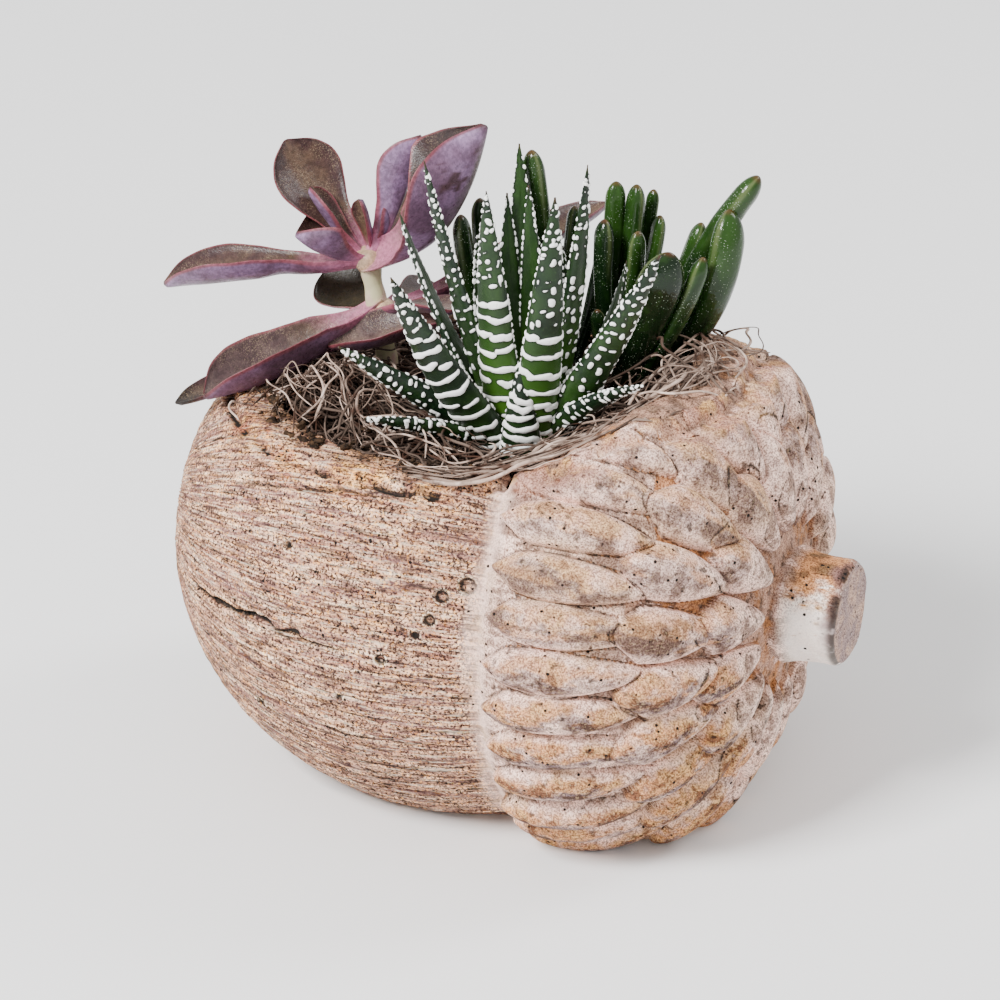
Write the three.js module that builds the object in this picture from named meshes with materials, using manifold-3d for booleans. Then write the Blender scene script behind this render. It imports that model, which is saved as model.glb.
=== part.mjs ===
// Succulents in a concrete planter shaped like an acorn that lies on its side.
// Millimetres, +Z up. The origin is the centre of the flat that the planter stands on.
// +X points along the acorn from the nut's tip to the cut stem.
import * as THREE from "three";
import { mergeVertices } from "three/addons/utils/BufferGeometryUtils.js";
import Module from "manifold-3d";

const wasm = await Module();
wasm.setup();

// ---- driving dimensions ----
const AXIS_HEIGHT = 62; // the acorn's axis above the flat
const JUNCTION_X = 20; // where the nut meets the cap
const NUT_CENTRE_X = JUNCTION_X - 34;
const NUT_RADIUS = 74.3;
const NUT_TIP_REACH = 82; // from the nut's widest place to the round of its tip
const NUT_CAP_REACH = 89;
const NIB_LENGTH = 9.7; // the small point on the nut's tip
const NIB_RADIUS = 9;
const CAP_CENTRE_X = JUNCTION_X + 10;
const CAP_RADIUS = 74.4;
const CAP_REACH = 52;
const CAP_POWER = 2.25; // 2 is an ellipse, more is squarer
const STEM_RADIUS = 14.2;
const STEM_ROOT_RADIUS = 15.6;
const STEM_END_X = JUNCTION_X + 78;
const WALL = 8;
const FLOOR_THICKNESS = 11;
const HOLLOW_COLUMNS = 28; // sides of the hollow and of what fills it
const CLEARANCE = 0.3; // between pieces that touch

// The slice that opens the acorn: distance along X from the junction, and height above the axis.
const SLICE = [
  [-140, 46.5],
  [-10, 46.5],
  [5, 52],
  [19, 58.5],
  [27, 62],
  [60, 60.5],
];
// On the far side of the cap the rim also falls away towards the back.
const BACK_FALL = { from: 15, height: 62.5, degrees: 15.6 };

// Rows of scales on the cap, by distance from the cap's lip along the surface.
const SCALE_ROWS = [
  { count: 36, tip: 1.5, root: 47, height: 3.6, phase: 0 },
  { count: 24, tip: 36, root: 72, height: 4.2, phase: 0.5 },
  { count: 16, tip: 60, root: 90, height: 3.8, phase: 0.25 },
];
const CAP_LIP = 3; // the cap's edge stands this far past the junction
const BAND_RISE = 0.6; // of the smooth band round the nut beside the cap
const SCALE_GROOVE = -1.3; // the cap's surface between the scales

const SOIL_LEVEL = 99;
const SOIL_RISE = 8; // the soil climbs this much towards the cap
const MOSS_THICKNESS = 11.5;
const MOSS_SPREAD = 4; // how far the moss lies over the rim
// Where the moss is heaped higher, or lies lower round a crown: x, y, radius, height.
const MOSS_HEAPS = [
  [-56, -22, 34, 11],
  [46, 6, 30, 11],
  [-30, 34, 30, 3],
  [12, -20, 20, -8],
];

// ---- solids ----
function solidOf(positions, triangles) {
  const geometry = new THREE.BufferGeometry();
  geometry.setAttribute("position", new THREE.Float32BufferAttribute(positions, 3));
  geometry.setIndex(triangles);
  return solidOfGeometry(geometry);
}

function solidOfGeometry(geometry) {
  const bare = geometry.clone();
  bare.deleteAttribute("normal");
  bare.deleteAttribute("uv");
  const merged = mergeVertices(bare, 1e-4);
  const vertProperties = new Float32Array(merged.attributes.position.array);
  const triVerts = new Uint32Array(merged.index.array);
  const made = new wasm.Manifold(new wasm.Mesh({ numProp: 3, vertProperties, triVerts }));
  if (made.volume() > 0) return made;
  for (let i = 0; i < triVerts.length; i += 3) {
    [triVerts[i + 1], triVerts[i + 2]] = [triVerts[i + 2], triVerts[i + 1]];
  }
  return new wasm.Manifold(new wasm.Mesh({ numProp: 3, vertProperties, triVerts }));
}

// Joins two rings of points, given as first index and count, whatever their counts are.
function bridge(ringA, ringB, triangles) {
  let a = 0;
  let b = 0;
  while (a < ringA.count || b < ringB.count) {
    const stepA = a < ringA.count && (b >= ringB.count || (a + 1) * ringB.count <= (b + 1) * ringA.count);
    const a0 = ringA.first + (a % ringA.count);
    const b0 = ringB.first + (b % ringB.count);
    if (stepA) {
      triangles.push(a0, ringA.first + ((a + 1) % ringA.count), b0);
      a += 1;
    } else {
      triangles.push(a0, ringB.first + ((b + 1) % ringB.count), b0);
      b += 1;
    }
  }
}

// A closed skin over a row of rings, with a fan to a middle point at each end.
function skin(rings) {
  const positions = [];
  const triangles = [];
  const placed = rings.map((ring) => {
    const first = positions.length / 3;
    ring.forEach((p) => positions.push(p.x, p.y, p.z));
    return { first, count: ring.length };
  });
  for (let i = 0; i + 1 < placed.length; i += 1) bridge(placed[i], placed[i + 1], triangles);
  [placed[0], placed[placed.length - 1]].forEach((ring, end) => {
    const middle = new THREE.Vector3();
    for (let i = 0; i < ring.count; i += 1) {
      middle.x += positions[3 * (ring.first + i)] / ring.count;
      middle.y += positions[3 * (ring.first + i) + 1] / ring.count;
      middle.z += positions[3 * (ring.first + i) + 2] / ring.count;
    }
    const centre = positions.length / 3;
    positions.push(middle.x, middle.y, middle.z);
    for (let i = 0; i < ring.count; i += 1) {
      const here = ring.first + i;
      const next = ring.first + ((i + 1) % ring.count);
      if (end === 0) triangles.push(here, centre, next);
      else triangles.push(here, next, centre);
    }
  });
  return solidOf(positions, triangles);
}

// A ring round the acorn's axis. The angle is 0 at the top and grows towards -Y.
function axisRing(x, count, radiusAt) {
  const ring = [];
  for (let i = 0; i < count; i += 1) {
    const angle = (2 * Math.PI * i) / count;
    const r = radiusAt(angle);
    const y = -r * Math.sin(angle);
    const z = AXIS_HEIGHT + r * Math.cos(angle);
    ring.push(new THREE.Vector3(x, y, z));
  }
  return ring;
}

function prism(outline, halfWidth) {
  const shape = new THREE.Shape(outline.map(([x, z]) => new THREE.Vector2(x, z)));
  const geometry = new THREE.ExtrudeGeometry(shape, { depth: 2 * halfWidth, bevelEnabled: false });
  geometry.rotateX(Math.PI / 2);
  geometry.translate(0, halfWidth, 0);
  return solidOfGeometry(geometry);
}

function boxOutline(x0, x1, z0, z1) {
  return [
    [x0, z0],
    [x1, z0],
    [x1, z1],
    [x0, z1],
  ];
}

function largestBody(solid) {
  return solid.decompose().reduce((best, body) => (body.volume() > best.volume() ? body : best));
}

function joined(solids) {
  return solids.reduce((sum, next) => sum.add(next));
}

function seededRandom(seed) {
  let state = seed;
  return () => {
    state = (state + 0x6d2b79f5) | 0;
    let t = Math.imul(state ^ (state >>> 15), 1 | state);
    t = (t + Math.imul(t ^ (t >>> 7), 61 | t)) ^ t;
    return ((t ^ (t >>> 14)) >>> 0) / 4294967296;
  };
}

// ---- planter ----
function nutRadius(x) {
  const reach = x < NUT_CENTRE_X ? NUT_TIP_REACH : NUT_CAP_REACH;
  const u = (x - NUT_CENTRE_X) / reach;
  const body = NUT_RADIUS * Math.sqrt(Math.max(0, 1 - u * u));
  const v = (x - (NUT_CENTRE_X - NUT_TIP_REACH + 4)) / -NIB_LENGTH;
  const nib = v > 0 ? NIB_RADIUS * Math.sqrt(Math.max(0, 1 - v * v)) : 0;
  return Math.max(body, nib);
}

function capRadius(x) {
  const u = Math.max(0, (x - CAP_CENTRE_X) / CAP_REACH);
  const lip = Math.max(0, CAP_CENTRE_X - x);
  const full = CAP_RADIUS - 0.02 * lip * lip;
  return full * Math.pow(Math.max(0, 1 - Math.pow(u, CAP_POWER)), 1 / CAP_POWER);
}

// The cap's profile as points evenly spaced by distance along the surface from its lip.
const CAP_STEP = 0.5;
const capLine = (() => {
  const points = [];
  let travelled = 0;
  let next = 0;
  let before = { x: JUNCTION_X, r: capRadius(JUNCTION_X) };
  const fine = 4000;
  for (let i = 0; i <= fine; i += 1) {
    const turn = (i / fine) * (Math.PI / 2);
    const x = JUNCTION_X + (CAP_CENTRE_X + CAP_REACH - JUNCTION_X) * Math.sin(turn);
    const now = { x, r: capRadius(x) };
    travelled += Math.hypot(now.x - before.x, now.r - before.r);
    before = now;
    if (travelled >= next) {
      points.push(now);
      next += CAP_STEP;
    }
  }
  return points;
})();

function capPoint(distance) {
  const place = Math.min(capLine.length - 2, Math.max(0, distance / CAP_STEP));
  const i = Math.floor(place);
  const f = place - i;
  const a = capLine[i];
  const b = capLine[i + 1];
  const length = Math.hypot(b.x - a.x, b.r - a.r);
  return {
    x: a.x + (b.x - a.x) * f,
    r: a.r + (b.r - a.r) * f,
    nx: -(b.r - a.r) / length,
    nr: (b.x - a.x) / length,
  };
}

// Each scale is a pillow with a pointed tip towards the nut, and rows lap like shingles.
function scaleRelief(distance, angle) {
  let relief = SCALE_GROOVE;
  SCALE_ROWS.forEach((row) => {
    const t = (distance - row.tip) / (row.root - row.tip);
    if (t <= 0 || t >= 1) return;
    const turns = (angle / (2 * Math.PI)) * row.count + row.phase;
    const across = Math.abs(2 * (turns - Math.floor(turns)) - 1);
    const halfWidth = 1.06 * Math.pow(Math.sin(Math.PI * Math.pow(t, 0.7)), 0.55);
    if (across >= halfWidth) return;
    const pillow = Math.pow(1 - (across / halfWidth) ** 2, 0.6);
    const along = Math.pow(Math.sin(Math.PI * Math.pow(t, 0.62)), 0.45);
    relief = Math.max(relief, SCALE_GROOVE + row.height * pillow * along);
  });
  return relief;
}

function capRing(distance, count) {
  const at = capPoint(distance);
  const ring = [];
  for (let i = 0; i < count; i += 1) {
    const angle = (2 * Math.PI * i) / count;
    const relief = scaleRelief(distance, angle);
    const r = at.r + relief * at.nr;
    const x = at.x + relief * at.nx;
    ring.push(new THREE.Vector3(x, -r * Math.sin(angle), AXIS_HEIGHT + r * Math.cos(angle)));
  }
  return ring;
}

function acornBody() {
  const rings = [];
  const nutColumns = 56;
  const nibX = NUT_CENTRE_X - NUT_TIP_REACH + 4 - NIB_LENGTH;
  [0.3, 3, 6].forEach((step) => rings.push(axisRing(nibX + step, 20, () => nutRadius(nibX + step))));
  [14, 24, 34, 45, 57, 70, 83, 96, 108].forEach((degrees) => {
    const turn = (degrees * Math.PI) / 180;
    const reach = degrees < 90 ? NUT_TIP_REACH : NUT_CAP_REACH;
    const x = NUT_CENTRE_X - reach * Math.cos(turn);
    rings.push(axisRing(x, nutColumns, () => nutRadius(x)));
  });
  [-4, 1.5].forEach((step) => {
    const x = JUNCTION_X + step;
    rings.push(axisRing(x, nutColumns, () => nutRadius(x) + BAND_RISE));
  });
  // The lip: scale tips stand out towards the nut, the grooves between them lie back.
  const lipColumns = SCALE_ROWS[0].count * 4;
  const lipRadius = (angle) => capPoint(CAP_LIP).r + scaleRelief(CAP_LIP + 3, angle) - 2.6;
  rings.push(axisRing(JUNCTION_X + CAP_LIP, lipColumns, lipRadius));
  [5, 10, 17, 25, 32, 38, 41].forEach((s) => rings.push(capRing(s, lipColumns)));
  const upperColumns = SCALE_ROWS[1].count * 4;
  [45, 50, 56, 61, 64, 68, 74, 80].forEach((s) => rings.push(capRing(s, upperColumns)));
  [86].forEach((s) => rings.push(capRing(s, SCALE_ROWS[2].count * 4)));
  [92].forEach((s) => rings.push(capRing(s, 30)));
  return skin(rings);
}

function cutStem() {
  const columns = 20;
  const rootX = CAP_CENTRE_X + CAP_REACH - 6;
  const sections = [
    [rootX, STEM_ROOT_RADIUS],
    [rootX + 6, STEM_ROOT_RADIUS - 0.6],
    [rootX + 9, STEM_RADIUS],
    [STEM_END_X - 4, STEM_RADIUS],
    [STEM_END_X - 1, STEM_RADIUS - 1],
    [STEM_END_X, STEM_RADIUS - 3],
  ];
  return skin(sections.map(([x, r]) => axisRing(x, columns, () => r)));
}

// The hollow's body, drawn in by a margin, and cut off below at the floor.
function hollow(margin) {
  const radius = NUT_RADIUS - WALL - margin;
  const leftReach = NUT_TIP_REACH - WALL - 2 - margin;
  const rightReach = CAP_REACH - WALL - 2 - margin;
  const rings = [];
  [9, 24, 42, 64, 90].forEach((degrees) => {
    const turn = (degrees * Math.PI) / 180;
    const x = NUT_CENTRE_X - leftReach * Math.cos(turn);
    rings.push(axisRing(x, HOLLOW_COLUMNS, () => radius * Math.sin(turn)));
  });
  [0, 22, 42, 62, 80].forEach((degrees) => {
    const u = Math.sin((degrees * Math.PI) / 180);
    const r = radius * Math.pow(1 - Math.pow(u, CAP_POWER), 1 / CAP_POWER);
    rings.push(axisRing(CAP_CENTRE_X + rightReach * u, HOLLOW_COLUMNS, () => r));
  });
  const floor = FLOOR_THICKNESS + margin;
  return skin(rings).subtract(prism(boxOutline(-150, 150, -20, floor), 100));
}

// Everything above the slice, lifted by a margin.
function slice(lift = 0) {
  const outline = SLICE.map(([x, z]) => [JUNCTION_X + x, AXIS_HEIGHT + z + lift]);
  const top = AXIS_HEIGHT + NUT_RADIUS + 20;
  outline.push([JUNCTION_X + 60, top], [JUNCTION_X - 140, top]);
  const fall = prism(boxOutline(-150, 150, 0, 60), 100)
    .rotate(-BACK_FALL.degrees, 0, 0)
    .translate(0, BACK_FALL.from, AXIS_HEIGHT + BACK_FALL.height + lift);
  const far = prism(boxOutline(-150, 150, 0, 200), 50).translate(0, BACK_FALL.from + 50, 0);
  return prism(outline, 100).add(fall.intersect(far));
}

function planter() {
  return acornBody()
    .add(cutStem())
    .subtract(prism(boxOutline(-150, 150, -40, 0), 100))
    .subtract(hollow(0))
    .subtract(slice());
}

// ---- leaves ----
function evenly(count, last = 1) {
  return Array.from({ length: count }, (_, i) => (last * i) / (count - 1));
}

const PLAIN = [0, 0.35, 0.7, 1]; // stations of a plain leaf, for cutting room round the real one

// A leaf runs from root to tip. "outward" is the heading, in degrees, that its outer face turns to,
// "arch" is how far its middle bulges to that side, "sway" how far it bulges sideways, and "roll"
// turns its inner face, in degrees, towards the side that is a quarter turn on from that heading.
function leafLine({ root, tip, outward, arch = 0, sway = 0, roll = 0 }, grow = 0) {
  const start = new THREE.Vector3(...root);
  const end = new THREE.Vector3(...tip);
  const chord = end.clone().sub(start).normalize();
  start.addScaledVector(chord, -grow);
  end.addScaledVector(chord, grow);
  const heading = (outward * Math.PI) / 180;
  const level = new THREE.Vector3(-Math.sin(heading), Math.cos(heading), 0);
  const inward = chord.clone().cross(level).normalize();
  const bulge = inward.clone().multiplyScalar(-2 * arch).addScaledVector(level, 2 * sway);
  const bend = start.clone().add(end).multiplyScalar(0.5).add(bulge);
  const curve = new THREE.QuadraticBezierCurve3(start, bend, end);
  return (s) => {
    const along = curve.getTangent(Math.min(0.999, Math.max(0.001, s)));
    const side = level.clone().addScaledVector(along, -level.dot(along)).normalize();
    side.applyAxisAngle(along, (-roll * Math.PI) / 180);
    const inner = along.clone().cross(side).normalize();
    return { centre: curve.getPoint(s), side, inner };
  };
}

// Sweeps a section, a list of [across, towards the inner face], along a leaf.
function leaf(spec, stations, sectionAt, grow = 0) {
  const line = leafLine(spec, grow);
  const rings = stations.map((s, i) => {
    const { centre, side, inner } = line(s);
    return sectionAt(s, i).map(([a, b]) =>
      centre.clone().addScaledVector(side, a).addScaledVector(inner, b),
    );
  });
  return skin(rings);
}

function smoothTable(table, s) {
  let i = 0;
  while (i + 2 < table.length && s > table[i + 1][0]) i += 1;
  const [s0, v0] = table[i];
  const [s1, v1] = table[i + 1];
  const f = Math.min(1, Math.max(0, (s - s0) / (s1 - s0)));
  return v0 + (v1 - v0) * f * f * (3 - 2 * f);
}

// ---- zebra haworthia ----
const HAWORTHIA_CROWN = [8, -12, 103];
const HAWORTHIA_RIDGE = 0.45; // the raised bars on the outer face
const BARRED = evenly(11, 0.9).concat([0.985]); // a ridge at every other station
// Each leaf's foot and tip are measured from the crown.
const HAWORTHIA_LEAVES = [
  { foot: [-4, -2, 0], reach: [-22, -15, 82], width: 8.5, outward: 235, arch: 1 },
  { foot: [-4, 0, 0], reach: [-31, -11, 65], width: 8.5, outward: 195, arch: 2 },
  { foot: [-4, -5, 0], reach: [-23, -35, 57], width: 11.5, outward: 265, arch: 3 },
  { foot: [-1, 3, 0], reach: [-9, 18, 77], width: 9, outward: 112, arch: 1 },
  { foot: [-2, -5, 0], reach: [-3, -19, 78], width: 10.5, outward: 268, arch: 2 },
  { foot: [-2, 2, 0], reach: [-10, 12, 65], width: 8, outward: 140, arch: 1 },
  { foot: [4, -5, 0], reach: [14, -14, 77], width: 10.5, outward: -62, arch: 3 },
  { foot: [5, -1, 0], reach: [17, 1, 81], width: 8.5, outward: -20, arch: 2 },
  { foot: [6, -2, 1.5], reach: [40, -6, 62], width: 9.5, outward: -50, arch: 2 },
  { foot: [3, -9, 1], reach: [4, -11, 29], width: 11.5, outward: -70, arch: 2 },
  { foot: [-6, -3, 1], reach: [-41, -29, 32], width: 8, outward: 228, arch: 0 },
  { foot: [-6, -6, 1], reach: [-32, -34, 15], width: 6, outward: 235, arch: -1 },
  { foot: [7, -4, 4], reach: [39, -13, 28], width: 6, outward: -30, arch: -2 },
  { foot: [1, 3, 0], reach: [-4, 12, 68], width: 8, outward: 80, arch: 1 },
  { foot: [4, 0, 0], reach: [11, -3, 58], width: 8, outward: -30, arch: 2 },
  { foot: [5, 4, 0], reach: [24, 12, 51], width: 9, outward: 35, arch: 3 },
  { foot: [0, 6, 0], reach: [2, 22, 48], width: 9, outward: 82, arch: 3 },
  { foot: [-5, 4, 0], reach: [-20, 16, 50], width: 9, outward: 140, arch: 3 },
];

function offset(from, by) {
  return from.map((value, i) => value + by[i]);
}

function haworthiaLeaf(spec, grow, stations) {
  const placed = {
    ...spec,
    root: offset(HAWORTHIA_CROWN, spec.foot),
    tip: offset(HAWORTHIA_CROWN, spec.reach),
  };
  const sectionAt = (s, i) => {
    const taper = 1.08 * Math.pow(1 - Math.pow(s, 2.4), 0.85);
    const half = Math.max(0.35, (spec.width / 2) * taper) + grow;
    const ridge = i % 2 === 1 && s < 0.85 ? HAWORTHIA_RIDGE : 0;
    const out = half * 0.62 + 0.15 + ridge;
    return [
      [half + ridge / 2, 0],
      [0, 0.12 * half + grow],
      [-half - ridge / 2, 0],
      [-half * 0.6, -out * 0.72],
      [0, -out],
      [half * 0.6, -out * 0.72],
    ];
  };
  return leaf(placed, stations, sectionAt, grow);
}

// An upright body of revolution from [height, radius] pairs.
function upright(x, y, profile) {
  const columns = 10;
  const rings = profile.map(([height, r]) =>
    Array.from({ length: columns }, (_, i) => {
      const angle = (2 * Math.PI * i) / columns;
      return new THREE.Vector3(x + r * Math.cos(angle), y + r * Math.sin(angle), height);
    }),
  );
  return skin(rings);
}

function crown([x, y, z], radius, depth, top, grow = 0) {
  return upright(x, y, [
    [z - depth - grow, radius * 0.6 + grow],
    [z - depth * 0.4, radius + grow],
    [z + top * 0.5, radius * 0.95 + grow],
    [z + top + grow, radius * 0.6 + grow],
  ]);
}

function haworthia() {
  const leaves = HAWORTHIA_LEAVES.map((spec) => haworthiaLeaf(spec, 0, BARRED));
  return joined([crown(HAWORTHIA_CROWN, 9, 9, 6), ...leaves]);
}

// ---- echeveria ----
const STEM_FOOT = [-39, 10, 92];
const STEM_HEAD = [-48, 12, 137.5];
const ECHEVERIA_STEM_RADIUS = 2.8;
const UPPER_HUB = [-48, 12, 138];
const LOWER_HUB = [-43.5, 11, 123.5];
const SPOON = [
  [0, 0.32],
  [0.18, 0.34],
  [0.38, 0.52],
  [0.56, 0.84],
  [0.7, 1],
  [0.84, 0.88],
  [0.94, 0.52],
  [1, 0.06],
];
const SPOON_STATIONS = [0, 0.2, 0.42, 0.6, 0.76, 0.91, 1];
// Each leaf's tip is measured from the hub that its whorl grows from.
const UPPER_LEAVES = [
  { reach: [-25, 1, 30], width: 22, outward: 175, arch: 2, roll: 25, cup: 0.25 },
  { reach: [-16, -3, 19], width: 8, outward: 190, arch: 1, cup: 0.7 },
  { reach: [0, -6, 19], width: 6, outward: 60, arch: 1, cup: 0.5 },
  { reach: [-15, -14, 10], width: 17, outward: 228, arch: 2, cup: 0.9 },
  { reach: [-51, -24, -7], width: 19, outward: 205, arch: 0, cup: 0.5 },
  { reach: [13, 6, 35], width: 15, outward: -20, arch: 0, sway: 2, cup: 0.7 },
  { reach: [36, -4, 45], width: 27, outward: -40, arch: 5, cup: 0.65 },
  { reach: [14, 10, 4], width: 9, outward: 30, arch: 1, cup: 0.4 },
  { reach: [5, 32, 8], width: 16, outward: 85, arch: 3, cup: 0.4 },
  { reach: [4, 3, 15], width: 6, outward: 30, arch: 1, cup: 0.6 },
];
const LOWER_LEAVES = [
  { reach: [-35.2, -41.0, -8.5], width: 21, outward: 230, arch: 1.5, roll: 5, cup: 0.7, stout: 0.5 },
  { reach: [-45, -39, -18.5], width: 12, outward: 222, arch: 0, sway: -2, cup: 0.3 },
  { foot: [9, -4, 4], reach: [-9, -17, -5], width: 14, outward: 230, arch: 1, roll: 25, cup: 0.5, stout: 1 },
  { reach: [26, -11, 13], width: 15, outward: -40, arch: -1, cup: 0.3, stout: 0.5 },
  { reach: [-20, 8, 6.5], width: 19, outward: 125, arch: 2, roll: 20, cup: 0.2 },
  { reach: [50, 42, 23.5], width: 15, outward: 40, arch: 3, cup: 0.5 },
  { reach: [7, 30, -6], width: 15, outward: 80, arch: -2, cup: 0.4 },
];

function spoonLeaf(spec, hub, grow, stations) {
  const sectionAt = (s) => {
    const stalk = (spec.stout ?? 0) * (1 - s);
    const half = (spec.width / 2) * Math.max(stalk, smoothTable(SPOON, s)) + grow;
    const cup = spec.cup * half * Math.min(1, s * 2.5 + 0.2);
    const thick = 1.1 + 1.3 * (1 - s) + grow;
    const edge = 0.35 + grow;
    return [
      [half, cup],
      [half * 0.5, cup * 0.25 + edge],
      [0, edge],
      [-half * 0.5, cup * 0.25 + edge],
      [-half, cup],
      [-half * 0.55, cup * 0.28 - thick * 0.8],
      [0, -thick],
      [half * 0.55, cup * 0.28 - thick * 0.8],
    ];
  };
  const root = offset(hub, spec.foot ?? [0, 0, 0]);
  return leaf({ ...spec, root, tip: offset(hub, spec.reach) }, stations, sectionAt, grow);
}

function tube(from, to, radius, columns, endRadius = radius) {
  const start = new THREE.Vector3(...from);
  const end = new THREE.Vector3(...to);
  const along = end.clone().sub(start).normalize();
  const side = new THREE.Vector3(0, 1, 0).addScaledVector(along, -along.y).normalize();
  const other = along.clone().cross(side);
  const ringAt = (centre, r) =>
    Array.from({ length: columns }, (_, i) => {
      const angle = (2 * Math.PI * i) / columns;
      return centre
        .clone()
        .addScaledVector(side, r * Math.cos(angle))
        .addScaledVector(other, r * Math.sin(angle));
    });
  return skin([ringAt(start, radius), ringAt(end, endRadius)]);
}

function echeveriaStem(grow = 0) {
  return tube(STEM_FOOT, STEM_HEAD, ECHEVERIA_STEM_RADIUS + grow, 12);
}

function whorl(leaves, hub) {
  const collar = crown(offset(hub, [0, 0, -1]), 4.2, 3, 3);
  return joined([collar, ...leaves.map((spec) => spoonLeaf(spec, hub, 0, SPOON_STATIONS))]);
}

// ---- crassula ----
// Each shoot: where its stem leaves the soil, and its tubular leaves by tip, width and outward heading.
const FINGER = [
  [0, 0.5],
  [0.25, 0.62],
  [0.6, 0.9],
  [0.82, 1],
  [0.95, 0.86],
  [1, 0.5],
];
const SHOOT_RADIUS = 3;
const FINGER_STATIONS = [0, 0.3, 0.6, 0.82, 0.95, 1];
const CRASSULA_SHOOTS = [
  {
    foot: [-11, 18, 96],
    leaves: [
      { tip: [-21, 13, 154], width: 6.5, outward: 190, arch: 2 },
      { tip: [-20, 24, 155], width: 5.5, outward: 150, arch: 2 },
      { tip: [-5, 25, 142], width: 6, outward: 80, arch: 1 },
      { tip: [-15, 24, 131], width: 6, outward: 120, arch: 1 },
    ],
  },
  {
    foot: [7, 21, 97],
    leaves: [
      { tip: [1, 10, 177], width: 7.5, outward: 230, arch: 1 },
      { tip: [8, 24, 157], width: 4.5, outward: 180, arch: 1 },
      { tip: [13, 38, 148], width: 6, outward: 80, arch: 3 },
      { tip: [2, 38, 136], width: 6, outward: 110, arch: 3 },
    ],
  },
  {
    foot: [20, 20, 98],
    leaves: [
      { tip: [19, 18, 157], width: 6.5, outward: 230, arch: 1 },
      { tip: [19, 26, 165], width: 6, outward: 120, arch: 1 },
      { tip: [25, 26, 165], width: 6, outward: 60, arch: 1 },
      { tip: [31, 11, 158], width: 5.5, outward: -20, arch: 2 },
      { tip: [27, 34, 161], width: 4, outward: 80, arch: 2 },
      { tip: [30, 31, 155], width: 5, outward: 50, arch: 2 },
      { tip: [21, 8, 135], width: 4.5, outward: 270, arch: 1 },
      { tip: [20, 43, 142], width: 6, outward: 90, arch: 3 },
    ],
  },
  {
    foot: [27, 6, 100],
    leaves: [
      { tip: [43, 3, 157], width: 13, outward: -60, arch: 1, flat: 0.55 },
      { tip: [50, 10, 154], width: 6, outward: -10, arch: 3 },
      { tip: [37, 13, 146], width: 5, outward: 30, arch: 1 },
    ],
  },
  {
    foot: [30, 20, 102],
    leaves: [
      { tip: [59, 27, 172], width: 8, outward: 0, arch: -3 },
      { tip: [53, 21, 164], width: 9, outward: -20, arch: 6 },
      { tip: [43, 28, 156], width: 6, outward: 30, arch: 0 },
      { tip: [44, 40, 146], width: 6, outward: 60, arch: 2 },
      { tip: [30, 38, 138], width: 6, outward: 100, arch: 3 },
    ],
  },
];

function fingerLeaf(spec, foot) {
  const root = offset(foot, [0, 0, 9]);
  const flat = spec.flat ?? 0.85;
  const sectionAt = (s) => {
    const half = (spec.width / 2) * smoothTable(FINGER, s);
    return Array.from({ length: 6 }, (_, k) => {
      const angle = (2 * Math.PI * k) / 6;
      return [half * Math.cos(angle), flat * half * Math.sin(angle)];
    });
  };
  return leaf({ ...spec, root }, FINGER_STATIONS, sectionAt);
}

function crassulaShoot({ foot, leaves }) {
  const stem = tube(foot, offset(foot, [0, 0, 12]), SHOOT_RADIUS, 8);
  return joined([stem, ...leaves.map((spec) => fingerLeaf(spec, foot))]);
}

// ---- soil and moss ----
// A level patch from heights on a grid, closed below at a flat bottom.
function terrain(x0, x1, y0, y1, columns, rows, bottom, heightAt) {
  const positions = [];
  const triangles = [];
  const index = (i, j, layer) => layer * (columns + 1) * (rows + 1) + j * (columns + 1) + i;
  [1, 0].forEach((isTop) => {
    for (let j = 0; j <= rows; j += 1) {
      for (let i = 0; i <= columns; i += 1) {
        const x = x0 + ((x1 - x0) * i) / columns;
        const y = y0 + ((y1 - y0) * j) / rows;
        positions.push(x, y, isTop ? heightAt(x, y) : bottom);
      }
    }
  });
  const quad = (a, b, c, d) => triangles.push(a, b, c, a, c, d);
  for (let j = 0; j < rows; j += 1) {
    for (let i = 0; i < columns; i += 1) {
      quad(index(i, j, 0), index(i + 1, j, 0), index(i + 1, j + 1, 0), index(i, j + 1, 0));
      quad(index(i, j, 1), index(i, j + 1, 1), index(i + 1, j + 1, 1), index(i + 1, j, 1));
    }
  }
  for (let i = 0; i < columns; i += 1) {
    quad(index(i, 0, 1), index(i + 1, 0, 1), index(i + 1, 0, 0), index(i, 0, 0));
    quad(index(i + 1, rows, 1), index(i, rows, 1), index(i, rows, 0), index(i + 1, rows, 0));
  }
  for (let j = 0; j < rows; j += 1) {
    quad(index(0, j + 1, 1), index(0, j, 1), index(0, j, 0), index(0, j + 1, 0));
    quad(index(columns, j, 1), index(columns, j + 1, 1), index(columns, j + 1, 0), index(columns, j, 0));
  }
  return solidOf(positions, triangles);
}

function soilHeight(x, y) {
  const climb = Math.min(1, Math.max(0, (x - 5) / 40));
  return SOIL_LEVEL + SOIL_RISE * climb + 0.8 * Math.sin(x / 12) * Math.cos(y / 11);
}

function heap(x, y, [cx, cy, radius, height]) {
  const d = Math.hypot(x - cx, y - cy) / radius;
  return d < 1 ? height * (1 - d * d) ** 2 : 0;
}

function mossHeight(x, y) {
  const heaps = MOSS_HEAPS.reduce((sum, one) => sum + heap(x, y, one), 0);
  return soilHeight(x, y) + MOSS_THICKNESS + heaps + 0.7 * Math.sin(x / 3.1 + y / 4.7);
}

const AREA = { left: -92, right: 62, front: -66, back: 66 };
const SOIL_GRID = [9, 7];
const MOSS_GRID = [15, 11];

function ground(lift, margin, bottom) {
  const [columns, rows] = SOIL_GRID;
  const { left, right, front, back } = AREA;
  const heightAt = (x, y) => soilHeight(x, y) + lift;
  const edges = [left - margin, right + margin, front - margin, back + margin];
  return terrain(...edges, columns, rows, bottom, heightAt);
}

function soilBody() {
  return hollow(CLEARANCE).intersect(ground(0, 0, -10));
}

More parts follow.
